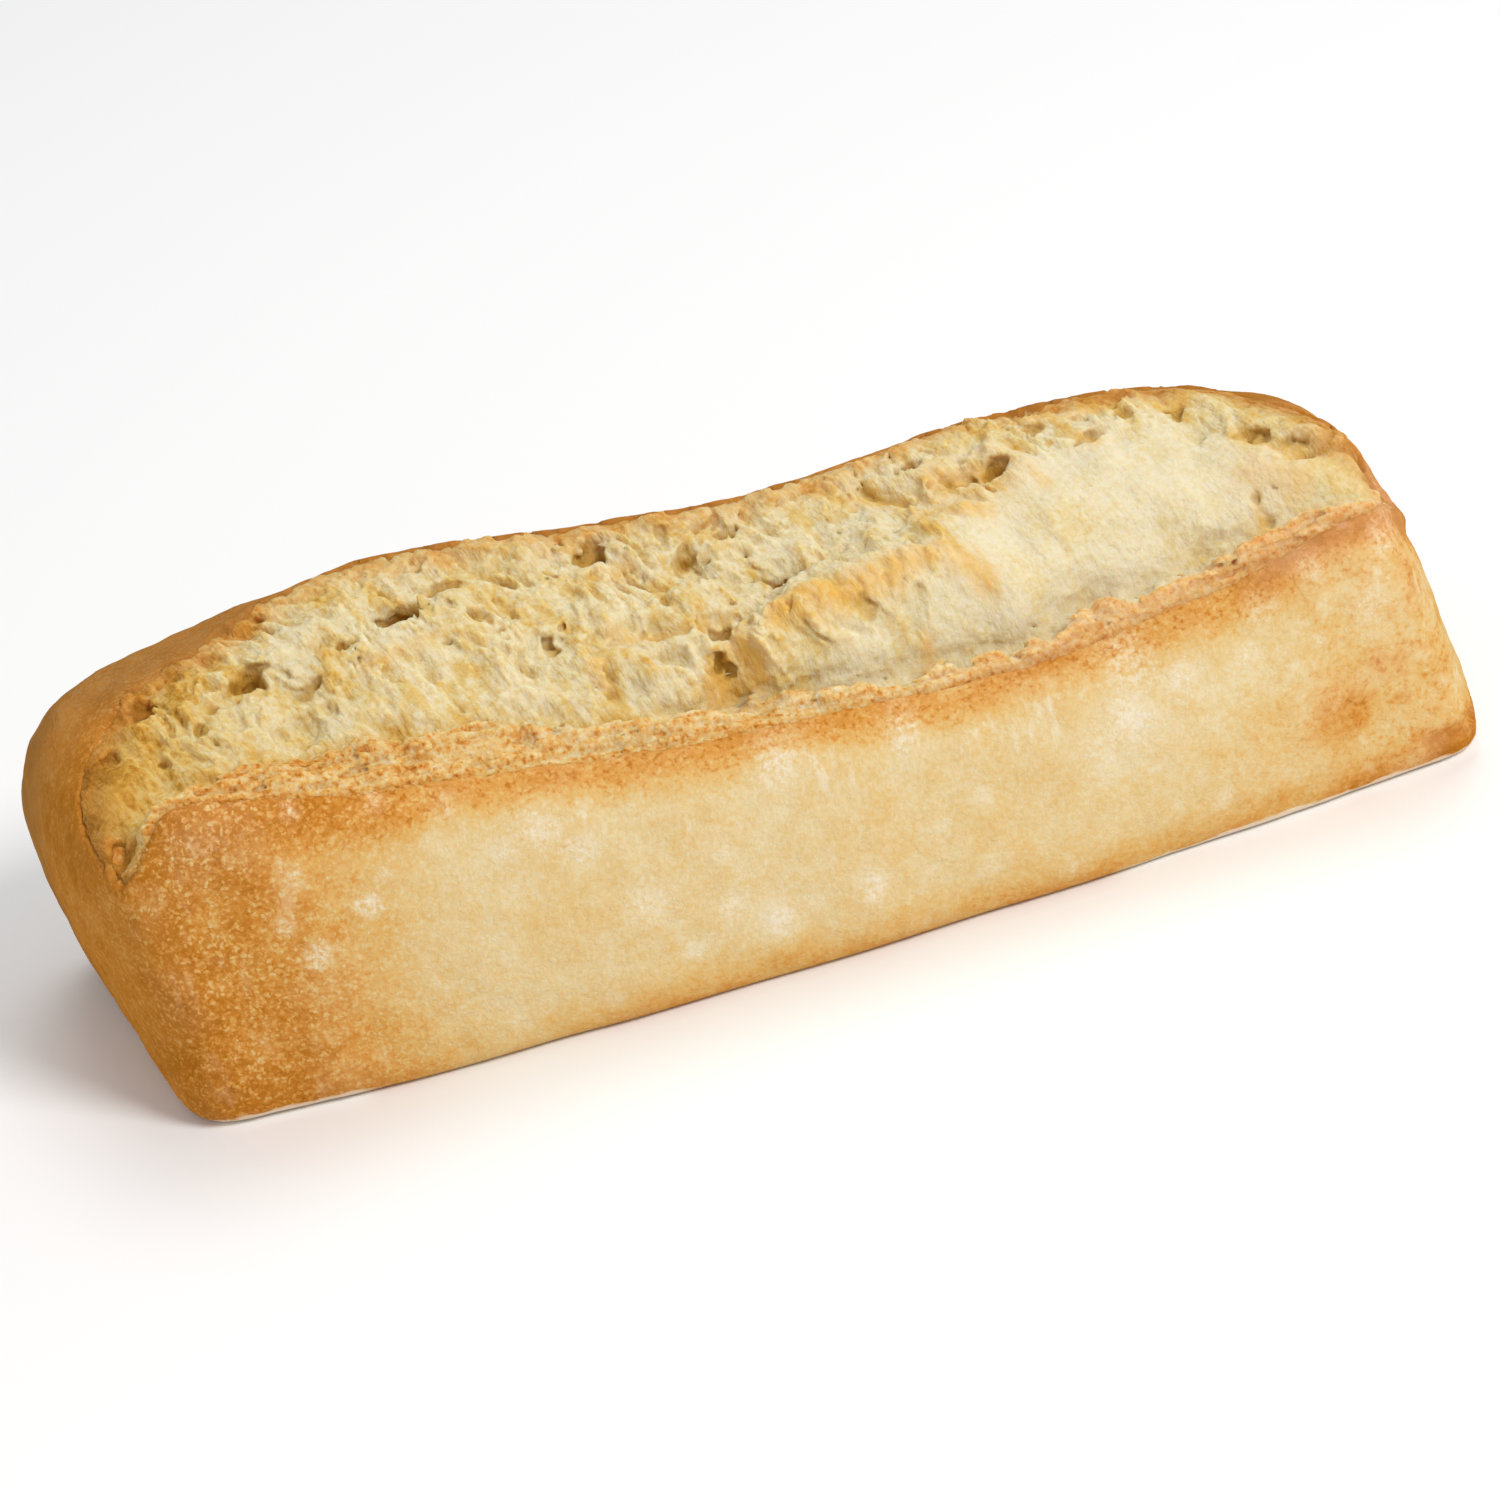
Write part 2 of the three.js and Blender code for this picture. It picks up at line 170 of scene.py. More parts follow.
# Spots of flour left on the front crust: X, Z, half width, and strength
FLOUR_SPOTS = [
    (-67, 40, 5.0, 0.2), (-71, 39, 3.0, 0.3), (-60, 22, 1.5, 1.2), (-63, 27, 1.0, 1.0), (-61, 33, 1.5, 0.7),
    (-59, 40, 1.0, 0.6), (-53, 27, 1.5, 1.1), (-50, 30, 1.0, 0.5), (-49, 38, 1.0, 0.6), (-41, 35, 1.5, 0.5),
    (-35, 29, 2.0, 0.5), (-31, 30, 2.5, 0.6), (-27, 26, 2.0, 0.7), (-20, 17, 3.0, 0.5), (-10, 13, 2.0, 0.6),
    (-5, 9, 2.0, 0.9), (-1, 29, 2.5, 0.8), (7, 10, 2.0, 0.9), (15, 28, 2.0, 0.8), (22, 8, 1.5, 0.5),
    (32, 4, 1.0, 0.5), (38, 19, 2.5, 0.4), (43, 22, 3.5, 0.7), (44, 28, 3.0, 0.7), (50, 25, 2.0, 0.6),
    (53, 7, 1.0, 0.5), (59, 25, 1.5, 0.6), (62, 30, 2.0, 0.5), (68, 24, 1.0, 0.6), (69, 33, 2.0, 0.5),
    (75, 27, 2.5, 0.6), (79, 34, 2.5, 0.7),
]
# Way in which the gas holes run back into the crumb, and how far they follow it
HOLE_WAY = (-0.12, -0.86, 0.5)
HOLE_LEAN = 0.55
# Holes deeper than this lean that way, and no hole lies lower than this
LEANING_DEPTH = 2.5
LOWEST_HOLE = 24
# Gas holes that the tear opened: X, Y, half length, half width, depth, and turn from the length in degrees
GAS_HOLES = [
    (-38.5, 9, 3.4, 2.3, 4.2, -5), (-33, 11, 2.8, 1.5, 1.0, 15), (-59, 2, 2.6, 2.0, 3.8, 35),
    (-63.5, -1, 1.3, 1.0, 1.6, 40), (-72.5, 2.5, 2.3, 1.8, 3.0, 60), (-69.5, 6.5, 1.2, 0.9, 1.3, 20),
    (-13, 11.5, 2.3, 1.8, 2.0, 25), (-2, 6.5, 1.9, 1.5, 1.6, 60), (38, 4, 2.1, 1.6, 2.3, 10),
    (33, 3.5, 4.0, 1.7, 1.2, -10), (51, 3.5, 2.0, 0.8, 1.2, 15), (63, 5.5, 1.2, 1.6, 1.5, 0),
    (69.5, -4.5, 2.4, 0.8, 1.4, -42), (73.5, -9, 1.5, 0.7, 1.2, -42), (77, -11, 1.0, 0.7, 1.0, -45),
    (-16.5, -10, 0.7, 2.4, 0.9, 10), (16, -13, 0.9, 2.0, 0.9, 5), (-79.5, -18.5, 0.9, 2.2, 1.4, 0),
    (-77, -4, 1.1, 1.4, 1.3, 20), (7.5, 0, 3.2, 0.8, 1.8, -28), (-1, -5, 2.2, 1.2, 1.5, 40),
    (-3, -12, 1.2, 2.2, 1.7, 5), (-66, -4.5, 0.9, 1.7, 1.3, 0), (-46, 2.5, 1.7, 1.1, 1.6, 20),
    (-29.5, 3.5, 1.2, 1.8, 1.4, 15), (-51.5, -2, 1.4, 1.0, 1.5, 10), (-22, -3, 0.9, 1.9, 1.3, 20),
    (28.5, 9.5, 1.8, 1.0, 1.5, 0), (45, 9, 1.5, 1.0, 1.4, 10), (56.5, 6, 1.3, 1.0, 1.4, 0),
    (4, 8.5, 1.5, 1.2, 1.5, 30), (66.5, -14, 0.6, 2.4, 0.6, 8), (64.5, -17.5, 1.5, 0.6, 0.8, 10),
]
# Scattered pores: the input that gives their size, their spacing, and the share of places that have one
PORES = [("Large pore", 8.5, 0.4), ("Middle pore", 4.0, 0.6), ("Small pore", 2.1, 0.7)]
# Half the side of the floor, in metres
FLOOR_HALF = 3.0


class Field:
    """A socket that can be reckoned with like a number."""

    def __init__(self, tree, socket):
        self.tree = tree
        self.socket = socket

    def _math(self, operation, *others):
        node = self.tree.nodes.new("ShaderNodeMath")
        node.operation = operation
        for place, value in enumerate((self,) + others):
            give(self.tree, value, node.inputs[place])
        return Field(self.tree, node.outputs[0])

    def __add__(self, other):
        return self._math("ADD", other)

    def __sub__(self, other):
        return self._math("SUBTRACT", other)

    def __mul__(self, other):
        return self._math("MULTIPLY", other)

    def __truediv__(self, other):
        return self._math("DIVIDE", other)

    def __pow__(self, other):
        return self._math("POWER", other)

    __radd__ = __add__
    __rmul__ = __mul__

    def size(self):
        return self._math("ABSOLUTE")

    def higher(self, other):
        return self._math("MAXIMUM", other)

    def lower(self, other):
        return self._math("MINIMUM", other)

    def over(self, other):
        return self._math("GREATER_THAN", other)

    def soft_higher(self, other, softness):
        return self._math("SMOOTH_MAX", other, softness)

    def side(self):
        return self._math("SIGN")

    def rest(self):
        return self * -1.0 + 1.0

    def fade(self, start, end, low=0.0, high=1.0):
        node = self.tree.nodes.new("ShaderNodeMapRange")
        node.interpolation_type = "SMOOTHSTEP"
        inputs = {"Value": self, "From Min": start, "From Max": end, "To Min": low, "To Max": high}
        for name, value in inputs.items():
            give(self.tree, value, node.inputs[name])
        return Field(self.tree, node.outputs[0])

    def mixed(self, other, share):
        return self + (other - self) * share


def give(tree, value, socket):
    """Link a field to a socket, or set the socket's own value."""
    if isinstance(value, Field):
        tree.links.new(value.socket, socket)
    else:
        socket.default_value = value


def open_socket(sockets, name):
    return next(socket for socket in sockets if socket.name == name and socket.enabled)


def node(tree, kind, inputs=None, output=0, **settings):
    """Add a node, set it up, feed it, and return one of its outputs as a field."""
    made = tree.nodes.new(kind)
    for name, value in settings.items():
        setattr(made, name, value)
    for name, value in (inputs or {}).items():
        socket = made.inputs[name] if isinstance(name, int) else open_socket(made.inputs, name)
        give(tree, value, socket)
    socket = made.outputs[output] if isinstance(output, int) else open_socket(made.outputs, output)
    return Field(tree, socket)


def vector_math(tree, operation, first, second=None, output="Vector"):
    inputs = {0: first} if second is None else {0: first, 1: second}
    return node(tree, "ShaderNodeVectorMath", inputs, output, operation=operation)


def scaled(tree, vector, x, y=None, z=None):
    y = x if y is None else y
    z = x if z is None else z
    return vector_math(tree, "MULTIPLY", vector, (x, y, z))


def parts_of(tree, vector):
    made = tree.nodes.new("ShaderNodeSeparateXYZ")
    give(tree, vector, made.inputs[0])
    return [Field(tree, socket) for socket in made.outputs]


def noise(tree, vector, size, detail=2.0, roughness=0.5):
    """Cloudy noise from 0 to 1 with lumps of about this size."""
    inputs = {"Vector": vector, "Scale": 1.0 / size, "Detail": detail, "Roughness": roughness}
    return node(tree, "ShaderNodeTexNoise", inputs)


def cloudy_vector(tree, vector, scale, detail):
    return node(tree, "ShaderNodeTexNoise", {"Vector": vector, "Scale": scale, "Detail": detail}, "Color")


def drift(tree, vector, scale, detail, reach):
    """Uneven moves, up to half this reach each way."""
    cloud = cloudy_vector(tree, vector, scale, detail)
    return scaled(tree, vector_math(tree, "SUBTRACT", cloud, (0.5, 0.5, 0.5)), reach)


def cells(tree, vector, size, output="Distance", spread=1.0):
    """Distance to the nearest of many scattered points, or a chance colour for each of them."""
    inputs = {"Vector": vector, "Scale": 1.0 / size, "Randomness": spread}
    return node(tree, "ShaderNodeTexVoronoi", inputs, output)


def along_strands(tree, spot):
    """Places turned so that the strands of the crumb run along the second direction."""
    x, y, z = parts_of(tree, spot)
    return node(tree, "ShaderNodeCombineXYZ", {0: x + y * STRAND_SLANT, 1: y, 2: z})


def ridge(value):
    """1 along the middle line of a noise, falling to both sides."""
    return (value * 2.0 - 1.0).size().rest()


def flaky_edge(tree, spot):
    """Uneven moves of the torn shelf's edge."""
    return (noise(tree, scaled(tree, spot, 0.6, 1.0, 1.0), 2.4, 2.0) - 0.5) * 5.0


def add_object(name, data):
    made = bpy.data.objects.new(name, data)
    bpy.context.scene.collection.objects.link(made)
    return made


def rounded(points, steps=8):
    """Smooth line through points, as an array of finer points."""
    p = np.array(points, float)
    first = 2 * p[0] - p[1]
    last = 2 * p[-1] - p[-2]
    p = np.vstack([first, p, last])
    fine = []
    for k in range(1, len(p) - 2):
        for t in np.arange(steps) / steps:
            a = -0.5 * t + t**2 - 0.5 * t**3
            b = 1 - 2.5 * t**2 + 1.5 * t**3
            c = 0.5 * t + 2 * t**2 - 1.5 * t**3
            d = -0.5 * t**2 + 0.5 * t**3
            fine.append(a * p[k - 1] + b * p[k] + c * p[k + 1] + d * p[k + 2])
    fine.append(p[-2])
    return np.array(fine)


def distance_to_line(points, line):
    """How far points are from a line, and the height of the line where it is nearest to each."""
    nearest = np.full(len(points), np.inf)
    height = np.zeros(len(points))
    for start, end in zip(line[:-1], line[1:]):
        run = end - start
        share = np.clip((points - start) @ run / max(run @ run, 1e-9), 0, 1)
        touch = start + share[:, None] * run
        gap = np.linalg.norm(points - touch, axis=1)
        height = np.where(gap < nearest, touch[:, -1], height)
        nearest = np.minimum(nearest, gap)
    return nearest, height


def inside_outline(points, outline):
    inside = np.zeros(len(points), bool)
    x, y = points[:, 0], points[:, 1]
    for (x0, y0), (x1, y1) in zip(outline, np.roll(outline, -1, axis=0)):
        crosses = (y0 > y) != (y1 > y)
        run = np.where(abs(y1 - y0) < 1e-9, 1e-9, y1 - y0)
        inside ^= crosses & (x < x0 + (y - y0) / run * (x1 - x0))
    return inside


def along_line(points, line, half_width):
    """1 along a line over the loaf (X, Y), falling to both sides."""
    gap = distance_to_line(points[:, :2], rounded(line))[0] / half_width
    return np.exp(-gap**2)


def even_skin():
    """The solid loaf as an even, smooth skin, nudged to the photograph's outline."""
    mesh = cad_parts["loaf"].data.copy()
    work = bmesh.new()
    work.from_mesh(mesh)
    bmesh.ops.remove_doubles(work, verts=work.verts, dist=1e-6)
    work.to_mesh(mesh)
    work.free()
    skin = add_object("smooth_loaf", mesh)
    remesh = skin.modifiers.new("even", "REMESH")
    remesh.mode = "VOXEL"
    remesh.voxel_size = SKIN_STEP * MM
    smooth = skin.modifiers.new("smooth", "SMOOTH")
    smooth.factor = 0.5
    smooth.iterations = SKIN_SMOOTHING
    plain(skin)
    points, _ = points_of(skin)
    for place, reach, move in NUDGES:
        gap = np.linalg.norm(points - place, axis=1) / reach
        points = points + np.exp(-gap**2)[:, None] * move
    skin.data.vertices.foreach_set("co", (points * MM).astype(np.float32).ravel())
    skin.data.update()
    return skin


def tear_edges(points, lip, ear):
    """How far points lie inside the tear, and how far from its front and back edges."""
    to_lip, lip_height = distance_to_line(points, lip)
    to_ear, ear_height = distance_to_line(points, ear)
    edge_height = np.where(to_lip < to_ear, lip_height, ear_height)
    x = points[:, 0]
    drop = np.where(abs(x) > END_START, END_DROP, TEAR_DROP)
    outline = np.vstack([lip, ear[::-1]])[:, :2]
    within = inside_outline(points[:, :2], outline) & (points[:, 2] > edge_height - drop)
    tear = np.minimum(to_lip, to_ear) * np.where(within, 1, -1)
    ragged = sum(height * np.sin(pace * x + shift) for height, pace, shift in RAGGED_WAVES)
    start, end = RAGGED_STRETCH
    by_ear = np.exp(-((to_ear / RAGGED_REACH) ** 2)) * (to_ear < to_lip) * (x > start) * (x < end)
    return tear + (ragged + RAGGED_MOVE) * by_ear, to_lip, to_ear


def crumb_zones(points, lip, tear, to_lip):
    """How far points lie inside the shelf, how far large forms lift them, and how far inside the pillow."""
    places, widths = np.array(SHELF_WIDTHS).T
    shelf = np.interp(points[:, 0], places, widths) - to_lip
    rise = np.zeros(len(points))
    for line, half_width, height in FORMS:
        rise += height * along_line(points, line, half_width) * np.clip(tear / 3, 0, 1)
    brow = rounded(PILLOW_EDGE)
    outline = np.vstack([brow, lip[::-1, :2]])
    pillow = distance_to_line(points[:, :2], brow)[0]
    pillow *= np.where(inside_outline(points[:, :2], outline), 1, -1)
    return shelf, rise, pillow


def golden_shaded_and_floury(points):
    """Strength of the golden patches, some of them painted shade, and of the spots of flour, and noughts to
    fill a vector.
    """
    gold_and_shade = np.zeros(len(points))
    for line, half_width, strength in GOLDEN_AND_SHADED_PATCHES:
        gold_and_shade = np.maximum(gold_and_shade, strength * along_line(points, line, half_width))
    floury = np.zeros(len(points))
    for x, z, half_width, strength in FLOUR_SPOTS:
        gap = np.hypot(points[:, 0] - x, points[:, 2] - z) / half_width
        floury = np.maximum(floury, strength * np.exp(-gap**2) * (points[:, 1] < 0))
    return gold_and_shade, floury, np.zeros(len(points))


def smooth_loaf():
    """The solid loaf as an even, smooth skin that knows where the tear runs."""
    skin = even_skin()
    points, facing = points_of(skin)
    lip = rounded(LIP_EDGE)
    tear, to_lip, to_ear = tear_edges(points, lip, rounded(EAR_EDGE))
    note(skin, "edges", np.stack([tear, to_lip, to_ear], 1))
    note(skin, "zones", np.stack(crumb_zones(points, lip, tear, to_lip), 1))
    note(skin, "outward", facing)
    note(skin, "tints", np.stack(golden_shaded_and_floury(points), 1))
    return skin


def points_of(piece):
    """Places in millimetres and outward directions of a piece's points."""
    count = len(piece.data.vertices)
    places = np.zeros(count * 3, np.float32)
    piece.data.vertices.foreach_get("co", places)
    facing = np.zeros(count * 3, np.float32)
    piece.data.vertices.foreach_get("normal", facing)
    return places.reshape(-1, 3).astype(float) / MM, facing.reshape(-1, 3).astype(float)


def note(piece, name, vectors):
    """Keep a vector for each point of a piece under this name."""
    kept = piece.data.attributes.new(name, "FLOAT_VECTOR", "POINT")
    kept.data.foreach_set("vector", vectors.astype(np.float32).ravel())


def hole_points(skin):
    """One point for each gas hole, on the large forms of the crumb, with its half sizes and directions."""
    points, facing = points_of(skin)
    zones = np.zeros(len(points) * 3, np.float32)
    skin.data.attributes["zones"].data.foreach_get("vector", zones)
    points = points + facing * zones.reshape(-1, 3)[:, 1:2]
    top = points[:, 2] > LOWEST_HOLE
    points, facing = points[top], facing[top]
    places, along, normals, halves = [], [], [], []
    for x, y, long, wide, deep, turn in GAS_HOLES:
        nearest = np.argmin(np.linalg.norm(points[:, :2] - (x, y), axis=1))
        lean = HOLE_LEAN if deep > LEANING_DEPTH else 0.0
        normal = Vector(facing[nearest]).lerp(Vector(HOLE_WAY), lean).normalized()
        lengthways = Vector((math.cos(math.radians(turn)), math.sin(math.radians(turn)), 0.0))
        lengthways = (lengthways - normal * lengthways.dot(normal)).normalized()
        places.append(points[nearest] * MM)
        along.append(lengthways)
        normals.append(normal)
        halves.append((long, wide, deep))
    mesh = bpy.data.meshes.new("gas_holes")
    mesh.from_pydata([tuple(place) for place in places], [], [])
    holes = add_object("gas_holes", mesh)
    note(holes, "along", np.array(along))
    note(holes, "normal_way", np.array(normals))
    note(holes, "halves", np.array(halves))
    return holes


def plain(piece):
    """Turn a piece and its modifiers into one plain mesh."""
    graph = bpy.context.evaluated_depsgraph_get()
    mesh = bpy.data.meshes.new_from_object(piece.evaluated_get(graph))
    old = piece.data
    piece.modifiers.clear()
    piece.data = mesh
    bpy.data.meshes.remove(old)
    return piece


def new_group(name, kind, inputs, outputs):
    """An empty tree with these sockets, and its inputs as fields."""
    tree = bpy.data.node_groups.new(name, kind)
    for way, sockets in (("INPUT", inputs), ("OUTPUT", outputs)):
        for label, socket_kind in sockets.items():
            tree.interface.new_socket(name=label, in_out=way, socket_type=socket_kind)
    entry = tree.nodes.new("NodeGroupInput")
    return tree, {socket.name: Field(tree, socket) for socket in entry.outputs if socket.name}


def new_tree(name, inputs):
    """An empty geometry tree with a mesh going in and out, and named inputs for its sizes."""
    mesh = {"Geometry": "NodeSocketGeometry"}
    kinds = {label: kind for label, (kind, _) in inputs.items()}
    return new_group(name, "GeometryNodeTree", mesh | kinds, mesh)


def size_inputs(sizes):
    return {label: ("NodeSocketFloat", size) for label, size in sizes.items()}


def finish_tree(tree, mesh, material):
    """Send the mesh out with its finish."""
    mesh = node(tree, "GeometryNodeSetShadeSmooth", {"Geometry": mesh, "Shade Smooth": True})
    mesh = node(tree, "GeometryNodeRealizeInstances", {"Geometry": mesh})
    mesh = node(tree, "GeometryNodeSetMaterial", {"Geometry": mesh, "Material": material})
    leave = tree.nodes.new("NodeGroupOutput")
    give(tree, mesh, leave.inputs[0])


def keep_value(tree, mesh, name, value, kind="FLOAT"):
    """Store a value for each point of the mesh under this name."""
    inputs = {"Geometry": mesh, "Name": name, "Value": value}
    return node(tree, "GeometryNodeStoreNamedAttribute", inputs, data_type=kind, domain="POINT")


def run_tree(piece, tree, inputs):
    modifier = piece.modifiers.new(tree.name, "NODES")
    modifier.node_group = tree
    for item in tree.interface.items_tree:
        if item.in_out == "INPUT" and item.name in inputs:
            modifier[item.identifier] = inputs[item.name][1]
    return modifier


def nearest_on_skin(tree, skin, value, place):
    inputs = {"Mesh": skin, "Value": value, "Sample Position": place}
    return node(tree, "GeometryNodeSampleNearestSurface", inputs, "Value", data_type="FLOAT_VECTOR")


def attribute(tree, name, kind="FLOAT_VECTOR"):
    return node(tree, "GeometryNodeInputNamedAttribute", {"Name": name}, "Attribute", data_type=kind)


def height_over_skin(tree, skin, place):
    """Signed distance from the smooth skin in millimetres, positive outside."""
    touch = nearest_on_skin(tree, skin, node(tree, "GeometryNodeInputPosition"), place)
    facing = nearest_on_skin(tree, skin, attribute(tree, "outward"), place)
    offset = vector_math(tree, "SUBTRACT", place, touch)
    way = vector_math(tree, "DOT_PRODUCT", offset, facing, "Value").side()
    return vector_math(tree, "LENGTH", offset, output="Value") * way * (1 / MM)


def right_foot(x, y):
    """1 around the front right corner of the foot, where the crust is folded."""
    return x.fade(78.0, 83.0) * y.fade(-12.0, -18.0)


def crust_tree(material):
    """Tree that bakes the skin: a rolling crust with torn edges, and a trough where the crumb lies."""
    inputs = size_inputs(CRUST_SIZES)
    inputs["Crust"] = ("NodeSocketMaterial", material)
    tree, given = new_tree("baked_crust", inputs)
    place = node(tree, "GeometryNodeInputPosition")
    spot = scaled(tree, place, 1 / MM)
    x, y, z = parts_of(tree, spot)
    tear, to_lip, to_ear = parts_of(tree, attribute(tree, "edges"))
    roll = (noise(tree, spot, 10.0) - 0.5) * given["Roll"]
    ripple = (noise(tree, spot, 3.4) - 0.5) * given["Ripple"]
    rim = (to_lip.fade(2.2, 0.0) + to_ear.fade(2.2, 0.0) * x.fade(-80.0, -68.0)) * given["Edge rise"]
    ragged = (noise(tree, spot, 2.4) - 0.5) * 1.6
    trough = (tear + ragged).fade(0.2, 1.3) * (tear * 1.2 + 0.5).lower(given["Trough depth"])
    crease = right_foot(x, y) * (z - FOLD_HEIGHT).size().fade(1.4, 0.2) * given["Fold depth"]
    rise = (roll + ripple + rim - crease) * z.fade(0.3, 3.0) - trough
    offset = vector_math(tree, "SCALE", attribute(tree, "outward"))
    give(tree, rise * MM, offset.socket.node.inputs["Scale"])
    mesh = node(tree, "GeometryNodeSetPosition", {"Geometry": given["Geometry"], "Offset": offset})
    mesh = keep_value(tree, mesh, "relief", roll + ripple)
    finish_tree(tree, mesh, given["Crust"])
    return tree, inputs


def wobbled(tree, start, spot):
    """Places moved unevenly, which keeps holes from being too round."""
    return vector_math(tree, "ADD", start, drift(tree, spot, 0.55, 1.0, 3.0))


def liveliness(x, on_shelf, pillow):
    """How torn the crumb is: less on the pillow, the wall over the shelf, the left tip and the right end."""
    wall = x.fade(6.0, -4.0) * on_shelf.fade(-11.0, -6.0)
    tip = x.fade(-70.0, -78.0)
    brim = x.fade(54.0, 64.0)
    return (pillow * 0.8).higher(wall * 0.5).higher(tip * 0.85).higher(brim * 0.6).rest()


def torn_relief(tree, given, spot, flow, bent, lively):
    """Lumps, walls, webs, bowls and fibres of the torn crumb, in millimetres."""
    lumps = noise(tree, scaled(tree, flow, 1.0, 0.55, 0.6), 9.0) - 0.5
    walls = ridge(noise(tree, scaled(tree, flow, 1.0, 0.45, 0.5), 4.0, 1.0)) - 0.85
    webs = ridge(noise(tree, scaled(tree, flow, 1.0, 0.5, 0.55), 1.8, 1.0)) - 0.85
    fibres = ridge(noise(tree, scaled(tree, flow, 1.0, 0.22, 0.26), 1.0, 1.0)) - 0.85
    large = cells(tree, scaled(tree, bent, 1.0, 0.6, 0.66), 6.5)
    small = cells(tree, scaled(tree, bent, 1.0, 0.55, 0.6), 2.8)
    bowls = (large * large - 0.25) * given["Large bowls"] + (small * small - 0.25) * given["Small bowls"]
    bowls = bowls * noise(tree, spot, 11.0, 1.0).fade(0.36, 0.54)
    torn = lumps * given["Lumps"] + walls * given["Walls"] + webs * given["Webs"] + bowls
    return torn * lively + fibres * given["Fibres"] * lively.fade(0.0, 1.0, 0.3, 1.0)


def flaky_relief(tree, given, spot, to_lip):
    """Creases, grain and flakes of the torn shelf, in millimetres."""
    creases = ridge(noise(tree, scaled(tree, spot, 0.08, 1.0, 1.0), 1.6, 2.0)) - 0.82
    grain = noise(tree, spot, 1.1, 2.0) - 0.5
    flaky = creases * given["Shelf creases"] + grain * given["Shelf grain"] - to_lip.fade(1.5, 0.3) * 0.6
    return flaky + (noise(tree, spot, 4.5, 2.0) - 0.5) * given["Shelf flakes"]


def scattered_pores(tree, given, drawn, shallow):
    """How deep a place lies inside the nearest scattered pore, in millimetres, negative outside."""
    depths = []
    for label, spacing, share in PORES:
        reach = cells(tree, drawn, spacing, spread=0.6) * spacing
        chance, _, _ = parts_of(tree, cells(tree, drawn, spacing, "Color", spread=0.6))
        radius = ((chance - (1.0 - share)) * (1.0 / share)).higher(0.0) * given[label] * shallow
        depths.append(radius - reach)
    return depths[0].higher(depths[1]).higher(depths[2])


def largest_body(tree, given, filled):
    """Mesh of the one large body in which this distance is negative."""
    grid = {
        "Density": (filled * -0.3 + 0.5).higher(0.0).lower(1.0), "Background": 0.0,
        "Min": given["Low corner"], "Max": given["High corner"],
        "Resolution X": given["Steps along"], "Resolution Y": given["Steps across"],
        "Resolution Z": given["Steps up"],
    }
    cube = node(tree, "GeometryNodeVolumeCube", grid, "Volume")
    level = {"Volume": cube, "Threshold": 0.5, "Adaptivity": 0.0}
    shell = node(tree, "GeometryNodeVolumeToMesh", level, "Mesh", resolution_mode="GRID")
    island = node(tree, "GeometryNodeInputMeshIsland", None, "Island Index")
    members = {"Value": 1, "Group ID": island}
    island_size = node(tree, "GeometryNodeAccumulateField", members, "Total", data_type="INT")
    count = {"Geometry": shell}
    whole = node(tree, "GeometryNodeAttributeDomainSize", count, "Point Count", component="MESH")
    loose = {"Geometry": shell, "Selection": (island_size * 2.0 - whole).over(0.0).rest()}
    return node(tree, "GeometryNodeDeleteGeometry", loose, domain="POINT")


def crumb_tree(holes, low, high, material):
    """Tree that fills the trough with torn crumb: a flaky shelf, strands, webs and pores."""
    inputs = size_inputs(CRUMB_SIZES)
    inputs["Holes"] = ("NodeSocketObject", holes)
    inputs["Low corner"] = ("NodeSocketVector", low)
    inputs["High corner"] = ("NodeSocketVector", high)
    for label, start, end in zip(("Steps along", "Steps across", "Steps up"), low, high):
        inputs[label] = ("NodeSocketInt", math.ceil((end - start) / (CRUMB_STEP * MM)) + 1)
    inputs["Crumb"] = ("NodeSocketMaterial", material)
    tree, given = new_tree("torn_crumb", inputs)
    skin = given["Geometry"]
    place = node(tree, "GeometryNodeInputPosition")
    spot = scaled(tree, place, 1 / MM)
    height = height_over_skin(tree, skin, place)
    tear, to_lip, _ = parts_of(tree, nearest_on_skin(tree, skin, attribute(tree, "edges"), place))
    on_shelf, form, pillow = parts_of(tree, nearest_on_skin(tree, skin, attribute(tree, "zones"), place))
    x, _, _ = parts_of(tree, spot)
    pillow = pillow.fade(-1.5, 4.0)
    lively = liveliness(x, on_shelf, pillow)
    flow = vector_math(tree, "ADD", along_strands(tree, spot), drift(tree, spot, 0.08, 1.0, 12.0))
    bent = wobbled(tree, flow, spot)

    on_shelf = on_shelf + flaky_edge(tree, spot)
    shelf = on_shelf.fade(-0.5, 0.5)
    brink = on_shelf.fade(-0.6, 0.6) * on_shelf.fade(2.6, 0.8)
    tuck = on_shelf.fade(-7.0, -1.0) ** 2.0 * on_shelf.fade(0.3, -0.8) * pillow.fade(0.0, 1.0, 0.55, 1.0)
    tuck = tuck * x.fade(70.0, 58.0)
    torn = torn_relief(tree, given, spot, flow, bent, lively)
    rise = torn.mixed(flaky_relief(tree, given, spot, to_lip), shelf) + form
    rise = rise + brink * given["Shelf brink"] - tuck * given["Shelf tuck"]
    rise = rise * tear.fade(-0.4, 3.0, 0.1, 1.0)
    surface = height - rise + tear.fade(0.0, -1.6) * 1.6

    airy = lively * tear.fade(0.5, 3.5) * on_shelf.fade(-1.5, -3.5)
    shallow = airy * (height - rise).fade(-1.8, -0.6)
    hollow = placed_holes(tree, given["Holes"], wobbled(tree, spot, spot))
    pores = scattered_pores(tree, given, scaled(tree, bent, 1.0, 0.48, 0.55), shallow)
    carved = surface.soft_higher(hollow, 0.6).soft_higher(pores, 0.3)
    filled = carved.higher((tear + 1.8) * -1.0).higher((height + given["Depth"]) * -1.0)
    mesh = largest_body(tree, given, filled)
    finish_tree(tree, mesh, given["Crumb"])
    return tree, inputs


